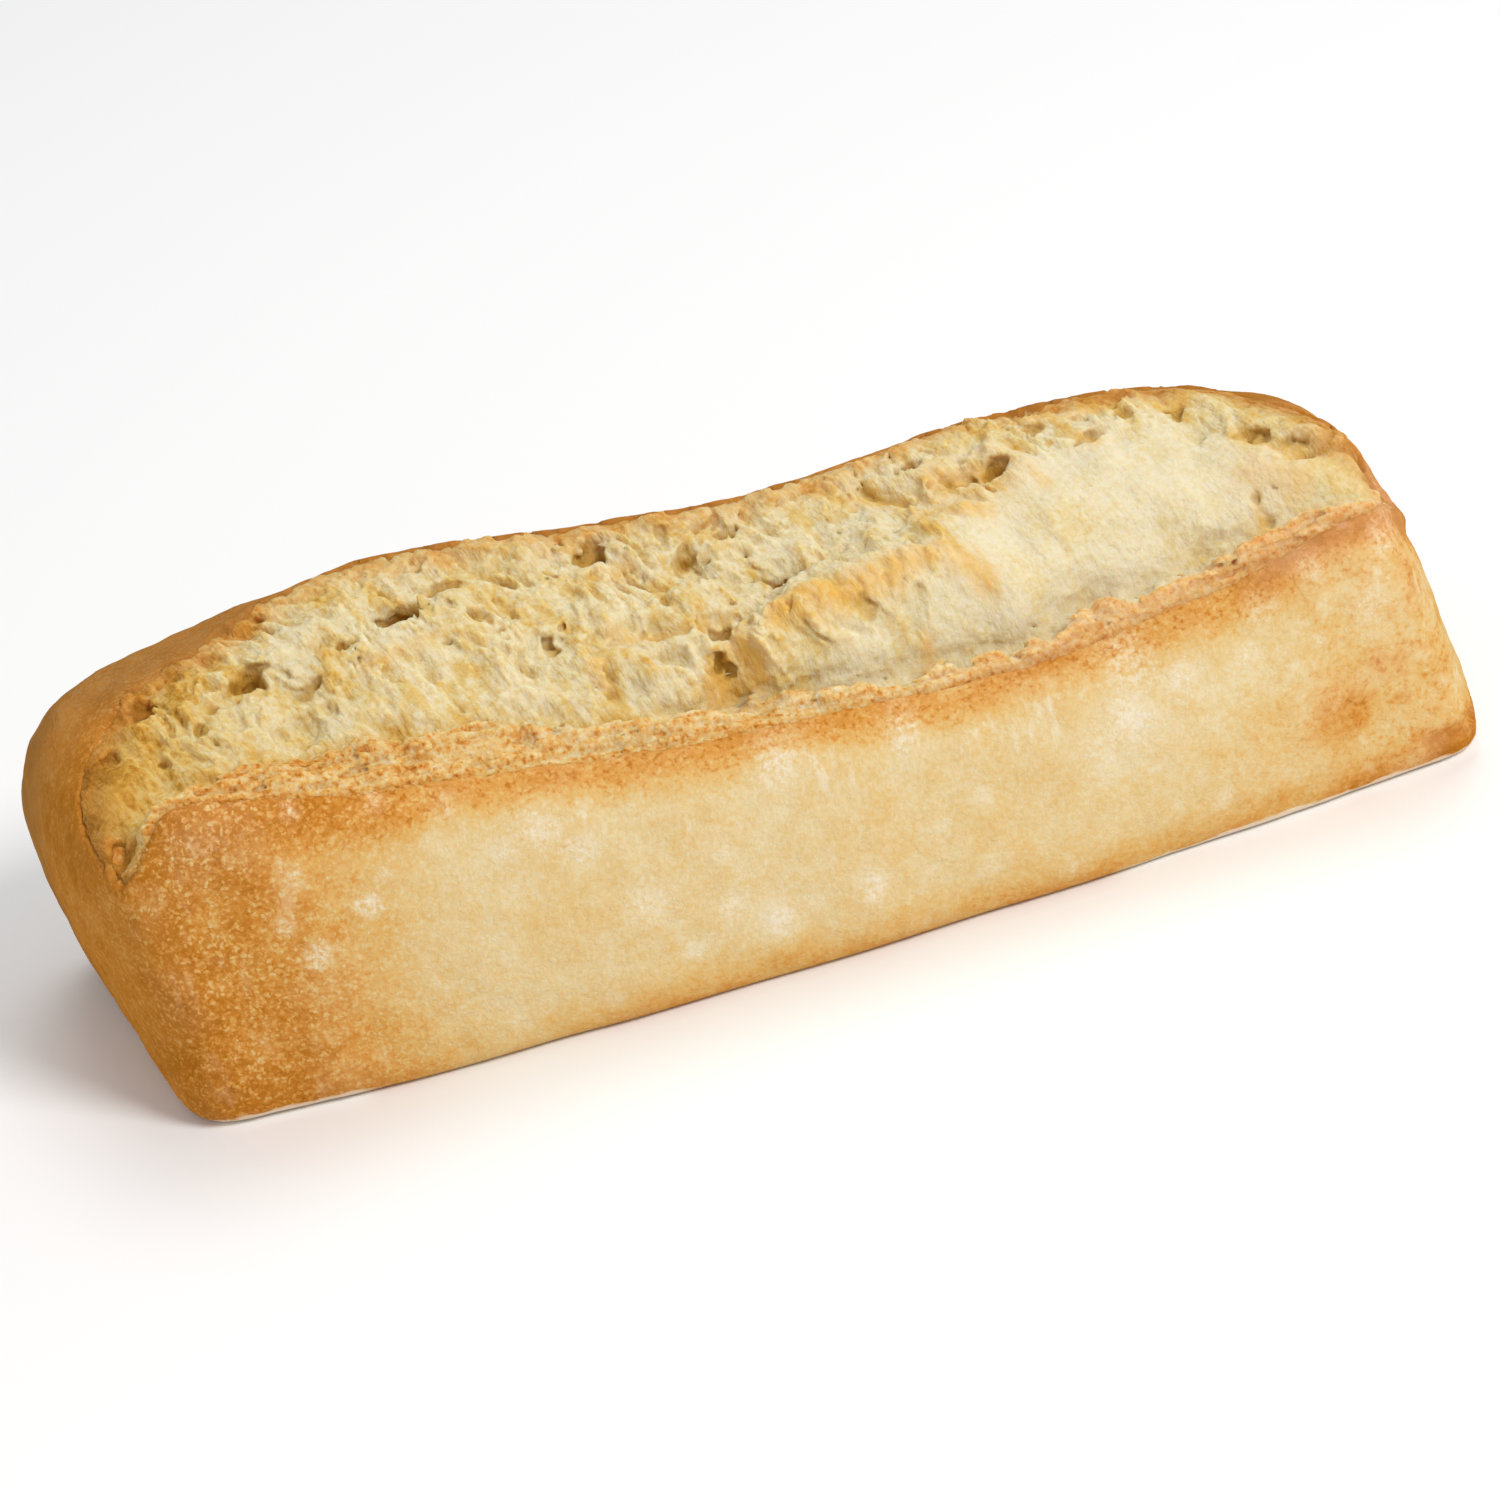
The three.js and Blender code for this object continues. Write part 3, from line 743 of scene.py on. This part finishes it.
def placed_holes(tree, holes, spot):
    """How deep a place lies inside the nearest placed gas hole, in millimetres, negative outside."""
    points = node(tree, "GeometryNodeObjectInfo", {"Object": holes}, "Geometry")
    place = scaled(tree, spot, MM)
    inputs = {"Geometry": points, "Sample Position": place}
    nearest = node(tree, "GeometryNodeSampleNearest", inputs, domain="POINT")

    def of_hole(value):
        inputs = {"Geometry": points, "Value": value, "Index": nearest}
        kind = {"data_type": "FLOAT_VECTOR", "domain": "POINT"}
        return node(tree, "GeometryNodeSampleIndex", inputs, "Value", **kind)

    centre = of_hole(node(tree, "GeometryNodeInputPosition"))
    along = of_hole(attribute(tree, "along"))
    normal = of_hole(attribute(tree, "normal_way"))
    long, wide, deep = parts_of(tree, of_hole(attribute(tree, "halves")))
    across = vector_math(tree, "CROSS_PRODUCT", normal, along)
    offset = scaled(tree, vector_math(tree, "SUBTRACT", place, centre), 1 / MM)
    shares = []
    for way, half in ((along, long), (across, wide), (normal, deep)):
        shares.append(vector_math(tree, "DOT_PRODUCT", offset, way, "Value") / half)
    down = shares[2].lower(0.0) + shares[2].higher(0.0) * 0.3
    out = (shares[0] * shares[0] + shares[1] * shares[1] + down * down) ** 0.5
    return out.rest() * wide.lower(deep)


def marks_tree(skin, holes, material):
    """Tree that notes on the crumb how far each point is from the tear's edges and from the smooth skin."""
    inputs = {
        "Skin": ("NodeSocketObject", skin),
        "Holes": ("NodeSocketObject", holes),
        "Crumb": ("NodeSocketMaterial", material),
    }
    tree, given = new_tree("crumb_marks", inputs)
    source = node(tree, "GeometryNodeObjectInfo", {"Object": given["Skin"]}, "Geometry")
    place = node(tree, "GeometryNodeInputPosition")
    edges = nearest_on_skin(tree, source, attribute(tree, "edges"), place)
    zones = nearest_on_skin(tree, source, attribute(tree, "zones"), place)
    mesh = keep_value(tree, given["Geometry"], "edges", edges, "FLOAT_VECTOR")
    mesh = keep_value(tree, mesh, "zones", zones, "FLOAT_VECTOR")
    _, form, _ = parts_of(tree, zones)
    mesh = keep_value(tree, mesh, "relief", height_over_skin(tree, source, place) - form)
    spot = scaled(tree, place, 1 / MM)
    mesh = keep_value(tree, mesh, "hollow", placed_holes(tree, given["Holes"], wobbled(tree, spot, spot)))
    tints = nearest_on_skin(tree, source, attribute(tree, "tints"), place)
    mesh = keep_value(tree, mesh, "tints", tints, "FLOAT_VECTOR")
    finish_tree(tree, mesh, given["Crumb"])
    return tree, inputs


def colour(red, green, blue):
    """A colour as the eye reads it, 0 to 255, in the linear values that a shader takes."""
    shares = [value / 255 for value in (red, green, blue)]
    linear = [s / 12.92 if s <= 0.04045 else ((s + 0.055) / 1.055) ** 2.4 for s in shares]
    return (*linear, 1.0)


def ramp(tree, value, stops):
    made = tree.nodes.new("ShaderNodeValToRGB")
    bands = made.color_ramp.elements
    while len(bands) < len(stops):
        bands.new(0.5)
    for band, (place, shade) in zip(bands, stops):
        band.position = place
        band.color = shade
    give(tree, value, made.inputs[0])
    return Field(tree, made.outputs[0])


def blend(tree, share, first, second):
    made = tree.nodes.new("ShaderNodeMix")
    made.data_type = "RGBA"
    give(tree, share, made.inputs["Factor"])
    give(tree, first, open_socket(made.inputs, "A"))
    give(tree, second, open_socket(made.inputs, "B"))
    return Field(tree, open_socket(made.outputs, "Result"))


def shader_group(name, inputs, outputs):
    tree, given = new_group(name, "ShaderNodeTree", inputs, outputs)
    return tree, given, tree.nodes.new("NodeGroupOutput")


def use_group(tree, group, inputs):
    made = tree.nodes.new("ShaderNodeGroup")
    made.node_tree = group
    for label, value in inputs.items():
        give(tree, value, made.inputs[label])
    return {socket.name: Field(tree, socket) for socket in made.outputs}


def browning_group(name, stops):
    """From pale dough to dark crust, through these colours."""
    group, given, leave = shader_group(name, {"Bake": "NodeSocketFloat"}, {"Colour": "NodeSocketColor"})
    shades = [(place, colour(*shade)) for place, shade in stops]
    give(group, ramp(group, given["Bake"], shades), leave.inputs["Colour"])
    return group


def grain_group():
    """Fine grain of a baked surface, small pale dots and toasted dots on it, and soft spots of flour."""
    inputs = {"Place": "NodeSocketVector", "Spot spacing": "NodeSocketFloat", "Spot share": "NodeSocketFloat"}
    labels = ("Grain", "Pale dots", "Toasted dots", "Spots")
    outputs = {label: "NodeSocketFloat" for label in labels}
    group, given, leave = shader_group("grain_and_flour", inputs, outputs)
    place = given["Place"]
    moved = vector_math(group, "ADD", place, (31.0, 17.0, 5.0))
    grain = noise(group, place, 0.8, 3.0, 0.6).fade(0.3, 0.7)
    near = vector_math(group, "ADD", moved, scaled(group, cloudy_vector(group, place, 1.1, 1.0), 1.2))
    often, _, _ = parts_of(group, cells(group, near, 0.7, "Color"))
    pale = cells(group, near, 0.7).fade(0.62, 0.3) * often.fade(0.1, 0.9) * 0.7
    pale = pale + noise(group, moved, 0.45, 1.0).fade(0.5, 0.68) * 0.35
    pale = pale + noise(group, moved, 1.0, 2.0).fade(0.5, 0.7) * 0.35
    toasted = noise(group, scaled(group, moved, -1.0), 0.7, 1.0).fade(0.52, 0.72)
    wandering = vector_math(group, "ADD", place, drift(group, place, 0.9, 2.0, 3.0))
    spacing = given["Spot spacing"]
    stretch = node(group, "ShaderNodeCombineXYZ", {0: spacing, 1: spacing, 2: spacing})
    near = vector_math(group, "DIVIDE", wandering, stretch)
    reach = cells(group, near, 1.0) * spacing
    chance, size, _ = parts_of(group, cells(group, near, 1.0, "Color"))
    radius = size * 0.9 + 0.6
    spots = (given["Spot share"] - chance).over(0.0) * (reach - radius).fade(0.7, -0.7)
    spots = spots * (grain * 0.6 + 0.4)
    for label, value in zip(labels, (grain, pale, toasted, spots)):
        give(group, value, leave.inputs[label])
    return group


def new_material(name):
    material = bpy.data.materials.new(name)
    material.use_nodes = True
    tree = material.node_tree
    tree.nodes.clear()
    leave = tree.nodes.new("ShaderNodeOutputMaterial")
    shader = tree.nodes.new("ShaderNodeBsdfPrincipled")
    tree.links.new(shader.outputs[0], leave.inputs[0])
    place = scaled(tree, node(tree, "ShaderNodeTexCoord", None, "Object"), 1 / MM)
    return material, tree, shader, place


def finish_material(tree, shader, tint, roughness, normal, softness, shine):
    """Feed the shader. Softness is weight, reach of each colour, and depth of the light under the surface."""
    give(tree, tint, shader.inputs["Base Color"])
    give(tree, roughness, shader.inputs["Roughness"])
    give(tree, normal, shader.inputs["Normal"])
    weight, reach, depth = softness
    shader.inputs["Subsurface Weight"].default_value = weight
    shader.inputs["Subsurface Radius"].default_value = reach
    shader.inputs["Subsurface Scale"].default_value = depth * MM
    shader.inputs["Specular IOR Level"].default_value = shine


def own_value(tree, name, output="Fac"):
    """A value that the mesh keeps for each of its points."""
    kind = {"attribute_name": name, "attribute_type": "GEOMETRY"}
    return node(tree, "ShaderNodeAttribute", None, output, **kind)


def own_parts(tree, name):
    """The three parts of a vector that the mesh keeps for each of its points."""
    return parts_of(tree, own_value(tree, name, "Vector"))


def bump(tree, height, distance, strength):
    inputs = {"Height": height, "Distance": distance * MM, "Strength": strength}
    return node(tree, "ShaderNodeBump", inputs, "Normal")


def crust_zones(tree, place, clouds, mottle):
    """Regions of the crust, each from 0 to 1."""
    x, y, z = parts_of(tree, place)
    _, to_lip, to_ear = own_parts(tree, "edges")
    right = (x + clouds * 40.0).fade(50.0, 80.0)
    patch = vector_math(tree, "DISTANCE", place, RIGHT_PATCH, "Value")
    ragged = (noise(tree, scaled(tree, place, 0.5, 1.0, 1.0), 2.4, 2.0) - 0.5) * 2.4
    pale_feet = x.fade(36.0, 44.0).higher(x.fade(-56.0, -61.0) * x.fade(-79.0, -76.0))
    return {
        "left": (x + clouds * 30.0).fade(-38.0, -76.0),
        "left end": x.fade(-74.0, -84.0),
        "right": right,
        "right shoulder": x.fade(56.0, 70.0) * z.fade(30.0, 38.0) * y.fade(-14.0, -6.0),
        "lip": (to_lip + clouds * 10.0 + mottle * 5.0).fade(right * -1.5 + 7.5, 0.8),
        "under lip": to_lip.fade(2.0, 5.0) * to_lip.fade(20.0, 8.0),
        "ear": (to_ear + mottle * 3.0).fade(9.0, 2.0),
        "corner": x.fade(-44.0, -62.0) * (to_lip + mottle * 3.0).fade(4.5, 0.6),
        "back": y.fade(-4.0, 16.0),
        # darker towards the floor: a browner bottom crust and painted shade near the floor
        "foot": (z + clouds * 8.0).fade(9.0, 0.0) * (x.fade(-20.0, -50.0) * -0.2 + 0.3),
        "sliver": pale_feet * (z + ragged).fade(1.5, 0.9) * y.fade(4.0, -10.0),
        "patch": (patch + mottle * 6.0).fade(6.5, 2.0),
        "fold": right_foot(x, y) * z.fade(8.0, 4.0),
    }


def crust_bake(tree, zone, parts, clouds, mottle):
    """How brown the crust is, from 0 to 1, darker towards the floor partly as painted shade."""
    left, right, lip = zone["left"], zone["right"], zone["lip"]
    rims = (lip * (right * 0.06 + 0.36)).higher(zone["ear"] * 0.32).higher(zone["corner"] * 0.34)
    bake = clouds * 0.36 + mottle * 0.32 + own_value(tree, "relief") * 0.14 + 0.27
    bake = bake + left * 0.53 + right * (mottle * 0.4 + 0.18) + zone["right shoulder"] * 0.1
    bake = bake + rims * (left * -0.55 + 1.0) + zone["back"] * 0.2
    bake = bake + zone["foot"] + zone["patch"] * 0.2 + zone["fold"] * 0.16
    bake = bake + (parts["Grain"] - 0.5) * 0.1 + parts["Toasted dots"] * (right * 0.08 + lip * 0.12 + 0.05)
    bake = bake.lower(mottle * 0.3 + clouds * 0.2 + zone["left end"] * -0.07 + 0.82)
    dotted = (zone["left end"] * -0.6 + 1.0) * (zone["back"] * -0.2 + 1.0) * (left * 0.26 + lip * 0.06 + 0.06)
    return bake - parts["Pale dots"] * dotted


def crust_flour(tree, zone, parts, place, floury):
    """How much flour lies on the crust, from 0 to 1."""
    right = zone["right"]
    dusty = noise(tree, place, 10.0, 2.0, 0.5).fade(0.46, 0.66)
    streaks = noise(tree, scaled(tree, place, 1.0, 1.0, 0.22), 1.5, 3.0, 0.6).fade(0.5, 0.68)
    streaks = streaks * zone["under lip"] * dusty
    patches = noise(tree, scaled(tree, place, 1.0, 1.0, 0.6), 4.5, 4.0, 0.62).fade(0.56, 0.74)
    patches = patches * (parts["Grain"] * 0.5 + 0.5) * (right * 0.3 + 0.3)
    flour = (parts["Spots"] * 0.4).higher(streaks * 0.5).higher(patches).higher(floury)
    flour = (flour + dusty * (right * 0.16 + 0.1)).lower(1.0).higher(zone["sliver"])
    return flour * zone["left end"].rest() * (zone["back"] * -0.7 + 1.0)


def crust_material(browning, grain):
    material, tree, shader, place = new_material("baked_crust")
    clouds = noise(tree, place, 20.0, 3.0, 0.55) - 0.5
    mottle = noise(tree, place, 4.0, 3.0, 0.62) - 0.5
    zone = crust_zones(tree, place, clouds, mottle)
    parts = use_group(tree, grain, {"Place": place, "Spot spacing": 5.5, "Spot share": 0.14})
    bake = crust_bake(tree, zone, parts, clouds, mottle)
    _, floury, _ = own_parts(tree, "tints")
    clumps = noise(tree, place, 1.0, 3.0, 0.65).fade(0.4, 0.62)
    floury = (floury * (clumps * 0.8 + parts["Pale dots"] * 0.5 + 0.2)).lower(1.0)
    flour = crust_flour(tree, zone, parts, place, floury)
    shade = use_group(tree, browning, {"Bake": bake - flour * 0.34})["Colour"]
    dull = zone["back"] * (zone["left"] * 0.3 + 0.25) * (parts["Pale dots"] * 0.8 + 0.7)
    shade = blend(tree, dull, shade, colour(148, 116, 74))
    shade = blend(tree, zone["lip"] * zone["right"] * 0.3, shade, colour(222, 164, 112))
    dusting = (flour * 0.3).higher(floury * 0.42).higher(zone["sliver"] * 0.8)
    tint = blend(tree, dusting, shade, colour(238, 221, 201))
    fine = parts["Grain"] * 0.5 + parts["Pale dots"] * 0.5 + parts["Spots"] * 0.3
    normal = bump(tree, fine, 0.25, 0.5)
    roughness = parts["Grain"] * 0.2 + 0.5
    finish_material(tree, shader, tint, roughness, normal, softness=(0.1, (1.0, 0.5, 0.2), 1.2), shine=0.0)
    return material


def torn_bake(tree, place, strands, zone, parts, clouds, threads):
    """How golden the torn crumb is, from 0 to 1, with painted shade in its valleys and in the groove behind
    the shelf.
    """
    x, pale, relief = zone["x"], zone["pale"], zone["relief"]
    golden = noise(tree, scaled(tree, strands, 1.0, 0.45, 0.5), 4.6, 3.0, 0.6).fade(0.48, 0.64)
    top = relief.fade(0.4, 1.6)
    # painted shade: the valleys of the torn crumb are made more golden
    shaded_valley = relief.fade(0.0, -1.2) * pale.rest()
    specks = noise(tree, place, 1.2, 2.0, 0.6).fade(0.5, 0.68)
    torn = clouds * 0.5 + threads + golden * (pale * -0.16 + 0.3) + top * 0.12 + shaded_valley * 0.14 + 0.145
    torn = torn - pale * 0.12 + zone["left"] * 0.36 + x.fade(-10.0, -40.0) * 0.05
    # painted shade: the groove between the pillow and the shelf is made more golden
    torn = torn + zone["on shelf"].fade(-6.0, -1.0) * 0.1
    torn = torn + zone["to ear"].fade(12.0, 3.0) * (zone["right"] * 0.22 + 0.06)
    return torn + (parts["Grain"] - 0.5) * 0.24 + specks * (pale * -0.07 + 0.13)


def shelf_bake(tree, place, zone, parts, clouds):
    """How brown the torn shelf is, from 0 to 1, darker along the front edge: a toasted edge and painted shade
    of the crease there.
    """
    layers = noise(tree, scaled(tree, place, 0.12, 1.0, 1.0), 1.5, 3.0, 0.6) - 0.5
    # darker within 1.6 mm of the front edge: a toasted edge and painted shade of the crease
    baked = layers * 0.7 + clouds * 0.2 + zone["to lip"].fade(1.6, 0.4) * 0.14 + 0.38
    baked = baked + (parts["Grain"] - 0.5) * 0.3 + zone["x"].fade(-26.0, -56.0) * 0.1
    return baked + parts["Toasted dots"] * 0.22 - parts["Pale dots"] * 0.1


def hollow_colours(tree, soft, zone, fibres, clouds):
    """The crumb's colour with golden patches, some of them painted shade, and painted shade inside the gas
    holes and deep hollows.
    """
    gold_and_shade, _, _ = own_parts(tree, "tints")
    relief = zone["relief"]
    # painted shade: a darker golden brown inside the placed gas holes
    inside = own_value(tree, "hollow").fade(-0.6, 0.1) * relief.fade(0.5, -0.8)
    # painted shade: a darker golden brown in the deep hollows of the crumb
    deep = relief.fade(-0.8, -2.0) * zone["on shelf"].fade(-1.5, -6.0)
    # golden patches, some of them painted shade of hollows and of a crease
    golden_and_shade_share = (gold_and_shade * (fibres * 3.0 + clouds + 1.7)).higher(0.0).lower(0.9)
    soft = blend(tree, golden_and_shade_share, soft, colour(225, 176, 86))
    soft = blend(tree, inside * 0.6, soft, colour(192, 148, 64))
    return blend(tree, deep * 0.85, soft, colour(184, 137, 52))


def crumb_material(browning, yellowing, grain):
    material, tree, shader, place = new_material("torn_crumb")
    x, _, _ = parts_of(tree, place)
    _, to_lip, to_ear = own_parts(tree, "edges")
    on_shelf, _, pillow = own_parts(tree, "zones")
    right = x.fade(40.0, 62.0)
    left = x.fade(-52.0, -78.0)
    pale = pillow.fade(-1.0, 5.0)
    zone = {
        "x": x, "left": left, "right": right, "pale": pale, "on shelf": on_shelf,
        "to lip": to_lip, "to ear": to_ear, "relief": own_value(tree, "relief"),
    }
    strands = along_strands(tree, place)
    clouds = noise(tree, place, 11.0, 3.0, 0.6) - 0.5
    fibres = noise(tree, scaled(tree, strands, 1.0, 0.3, 0.35), 1.1, 3.0, 0.65) - 0.5
    hairs = noise(tree, scaled(tree, strands, 1.0, 0.16, 0.2), 0.5, 2.0, 0.6) - 0.5
    threads = (fibres * 0.4 + hairs * 0.36) * (pale * -0.5 + 1.0)
    parts = use_group(tree, grain, {"Place": place, "Spot spacing": 3.0, "Spot share": 0.0})
    torn = torn_bake(tree, place, strands, zone, parts, clouds, threads)
    soft = use_group(tree, yellowing, {"Bake": torn})["Colour"]
    soft = hollow_colours(tree, soft, zone, fibres, clouds)
    toasted = torn * 0.5 + 0.34 + right * 0.16 + left * 0.1
    rim = use_group(tree, browning, {"Bake": toasted})["Colour"]
    baked = shelf_bake(tree, place, zone, parts, clouds)
    crusty = use_group(tree, browning, {"Bake": baked})["Colour"]
    crusty = blend(tree, x.fade(10.0, 40.0) * 0.3, crusty, colour(224, 166, 114))
    ear = (to_ear + clouds * 6.0 + fibres * 4.0).fade(right * 0.5 + 6.5, right * 1.5 + 0.5)
    shelf = (on_shelf + flaky_edge(tree, place)).fade(-1.0, 0.6)
    tint = blend(tree, shelf, blend(tree, ear * 0.85, soft, rim), crusty)
    cellular = cells(tree, scaled(tree, strands, 1.0, 0.6, 0.6), 0.9).lower(0.5)
    fine = cellular * 0.6 + parts["Grain"] * 0.3 + threads * 2.6
    normal = bump(tree, fine, 0.5, 0.75)
    roughness = parts["Grain"] * 0.15 + 0.55
    finish_material(tree, shader, tint, roughness, normal, softness=(0.6, (1.0, 0.66, 0.32), 2.2), shine=0.06)
    return material


def make_crust(skin, material):
    crust = add_object("crust", skin.data.copy())
    run_tree(crust, *crust_tree(material))
    return plain(crust)


def make_crumb(skin, material):
    crumb = add_object("crumb", skin.data.copy())
    holes = hole_points(skin)
    edges = np.array(LIP_EDGE + EAR_EDGE)
    low = tuple((edges.min(0) - ROOM_BELOW) * MM)
    high = tuple((edges.max(0) + ROOM_ABOVE) * MM)
    run_tree(crumb, *crumb_tree(holes, low, high, material))
    plain(crumb)
    full = triangle_count(crumb)
    if full > CRUMB_TRIANGLES:
        thin = crumb.modifiers.new("thin", "DECIMATE")
        thin.ratio = CRUMB_TRIANGLES / full
    run_tree(crumb, *marks_tree(skin, holes, material))
    plain(crumb)
    bpy.data.objects.remove(holes)
    return crumb


def make_loaf():
    browning = browning_group("crust_browning", CRUST_BROWNING)
    yellowing = browning_group("crumb_browning", CRUMB_BROWNING)
    grain = grain_group()
    skin = smooth_loaf()
    crust = make_crust(skin, crust_material(browning, grain))
    crumb = make_crumb(skin, crumb_material(browning, yellowing, grain))
    bpy.data.objects.remove(skin)
    return [crust, crumb]


def triangle_count(piece):
    return sum(len(face.vertices) - 2 for face in piece.data.polygons)


def make_camera():
    azimuth, elevation, roll = (math.radians(a) for a in (VIEW_AZIMUTH, VIEW_ELEVATION, VIEW_ROLL))
    flat = math.cos(elevation)
    back = Vector((math.sin(azimuth) * flat, -math.cos(azimuth) * flat, math.sin(elevation)))
    right = Vector((math.cos(azimuth), math.sin(azimuth), 0.0))
    up = back.cross(right)
    leaning_right = right * math.cos(roll) - up * math.sin(roll)
    leaning_up = right * math.sin(roll) + up * math.cos(roll)
    data = bpy.data.cameras.new("photograph")
    data.sensor_fit = "HORIZONTAL"
    data.sensor_width = SENSOR
    data.lens = LENS
    data.clip_start = 0.01
    camera = add_object("photograph", data)
    turn = Matrix((leaning_right, leaning_up, back)).transposed().to_4x4()
    spot = (Vector(VIEW_TARGET) + back * VIEW_DISTANCE) * MM
    camera.matrix_world = Matrix.Translation(spot) @ turn
    bpy.context.scene.camera = camera


def make_floor():
    mesh = bpy.data.meshes.new("floor")
    corners = [(x * FLOOR_HALF, y * FLOOR_HALF, 0) for x, y in ((-1, -1), (1, -1), (1, 1), (-1, 1))]
    mesh.from_pydata(corners, [], [(0, 1, 2, 3)])
    floor = add_object("floor", mesh)
    material = bpy.data.materials.new("pale_floor")
    material.use_nodes = True
    shader = material.node_tree.nodes["Principled BSDF"]
    shader.inputs["Base Color"].default_value = (0.96, 0.96, 0.96, 1)
    shader.inputs["Roughness"].default_value = 0.8
    shader.inputs["Specular IOR Level"].default_value = 0.0
    mesh.materials.append(material)


def area_light(name, place, aim, width, power):
    data = bpy.data.lights.new(name, "AREA")
    data.shape = "DISK"
    data.size = width
    data.energy = power
    light = add_object(name, data)
    light.location = place
    light.rotation_euler = (Vector(aim) - Vector(place)).to_track_quat("-Z", "Y").to_euler()


def make_light():
    world = bpy.data.worlds.new("studio")
    world.use_nodes = True
    sky = world.node_tree.nodes["Background"]
    sky.inputs["Color"].default_value = (1.0, 1.0, 1.0, 1)
    sky.inputs["Strength"].default_value = 0.51
    bpy.context.scene.world = world
    area_light("key", place=(0.45, -0.65, 0.8), aim=(0, 0, 0.02), width=0.35, power=7.0)
    area_light("top", place=(0.1, 0.35, 0.9), aim=(0, 0, 0.03), width=0.5, power=2.0)
    bpy.context.scene.view_settings.view_transform = "Standard"


pieces = make_loaf()
for piece in pieces:
    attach(piece, "root")
    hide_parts("loaf")
make_camera()
make_floor()
make_light()
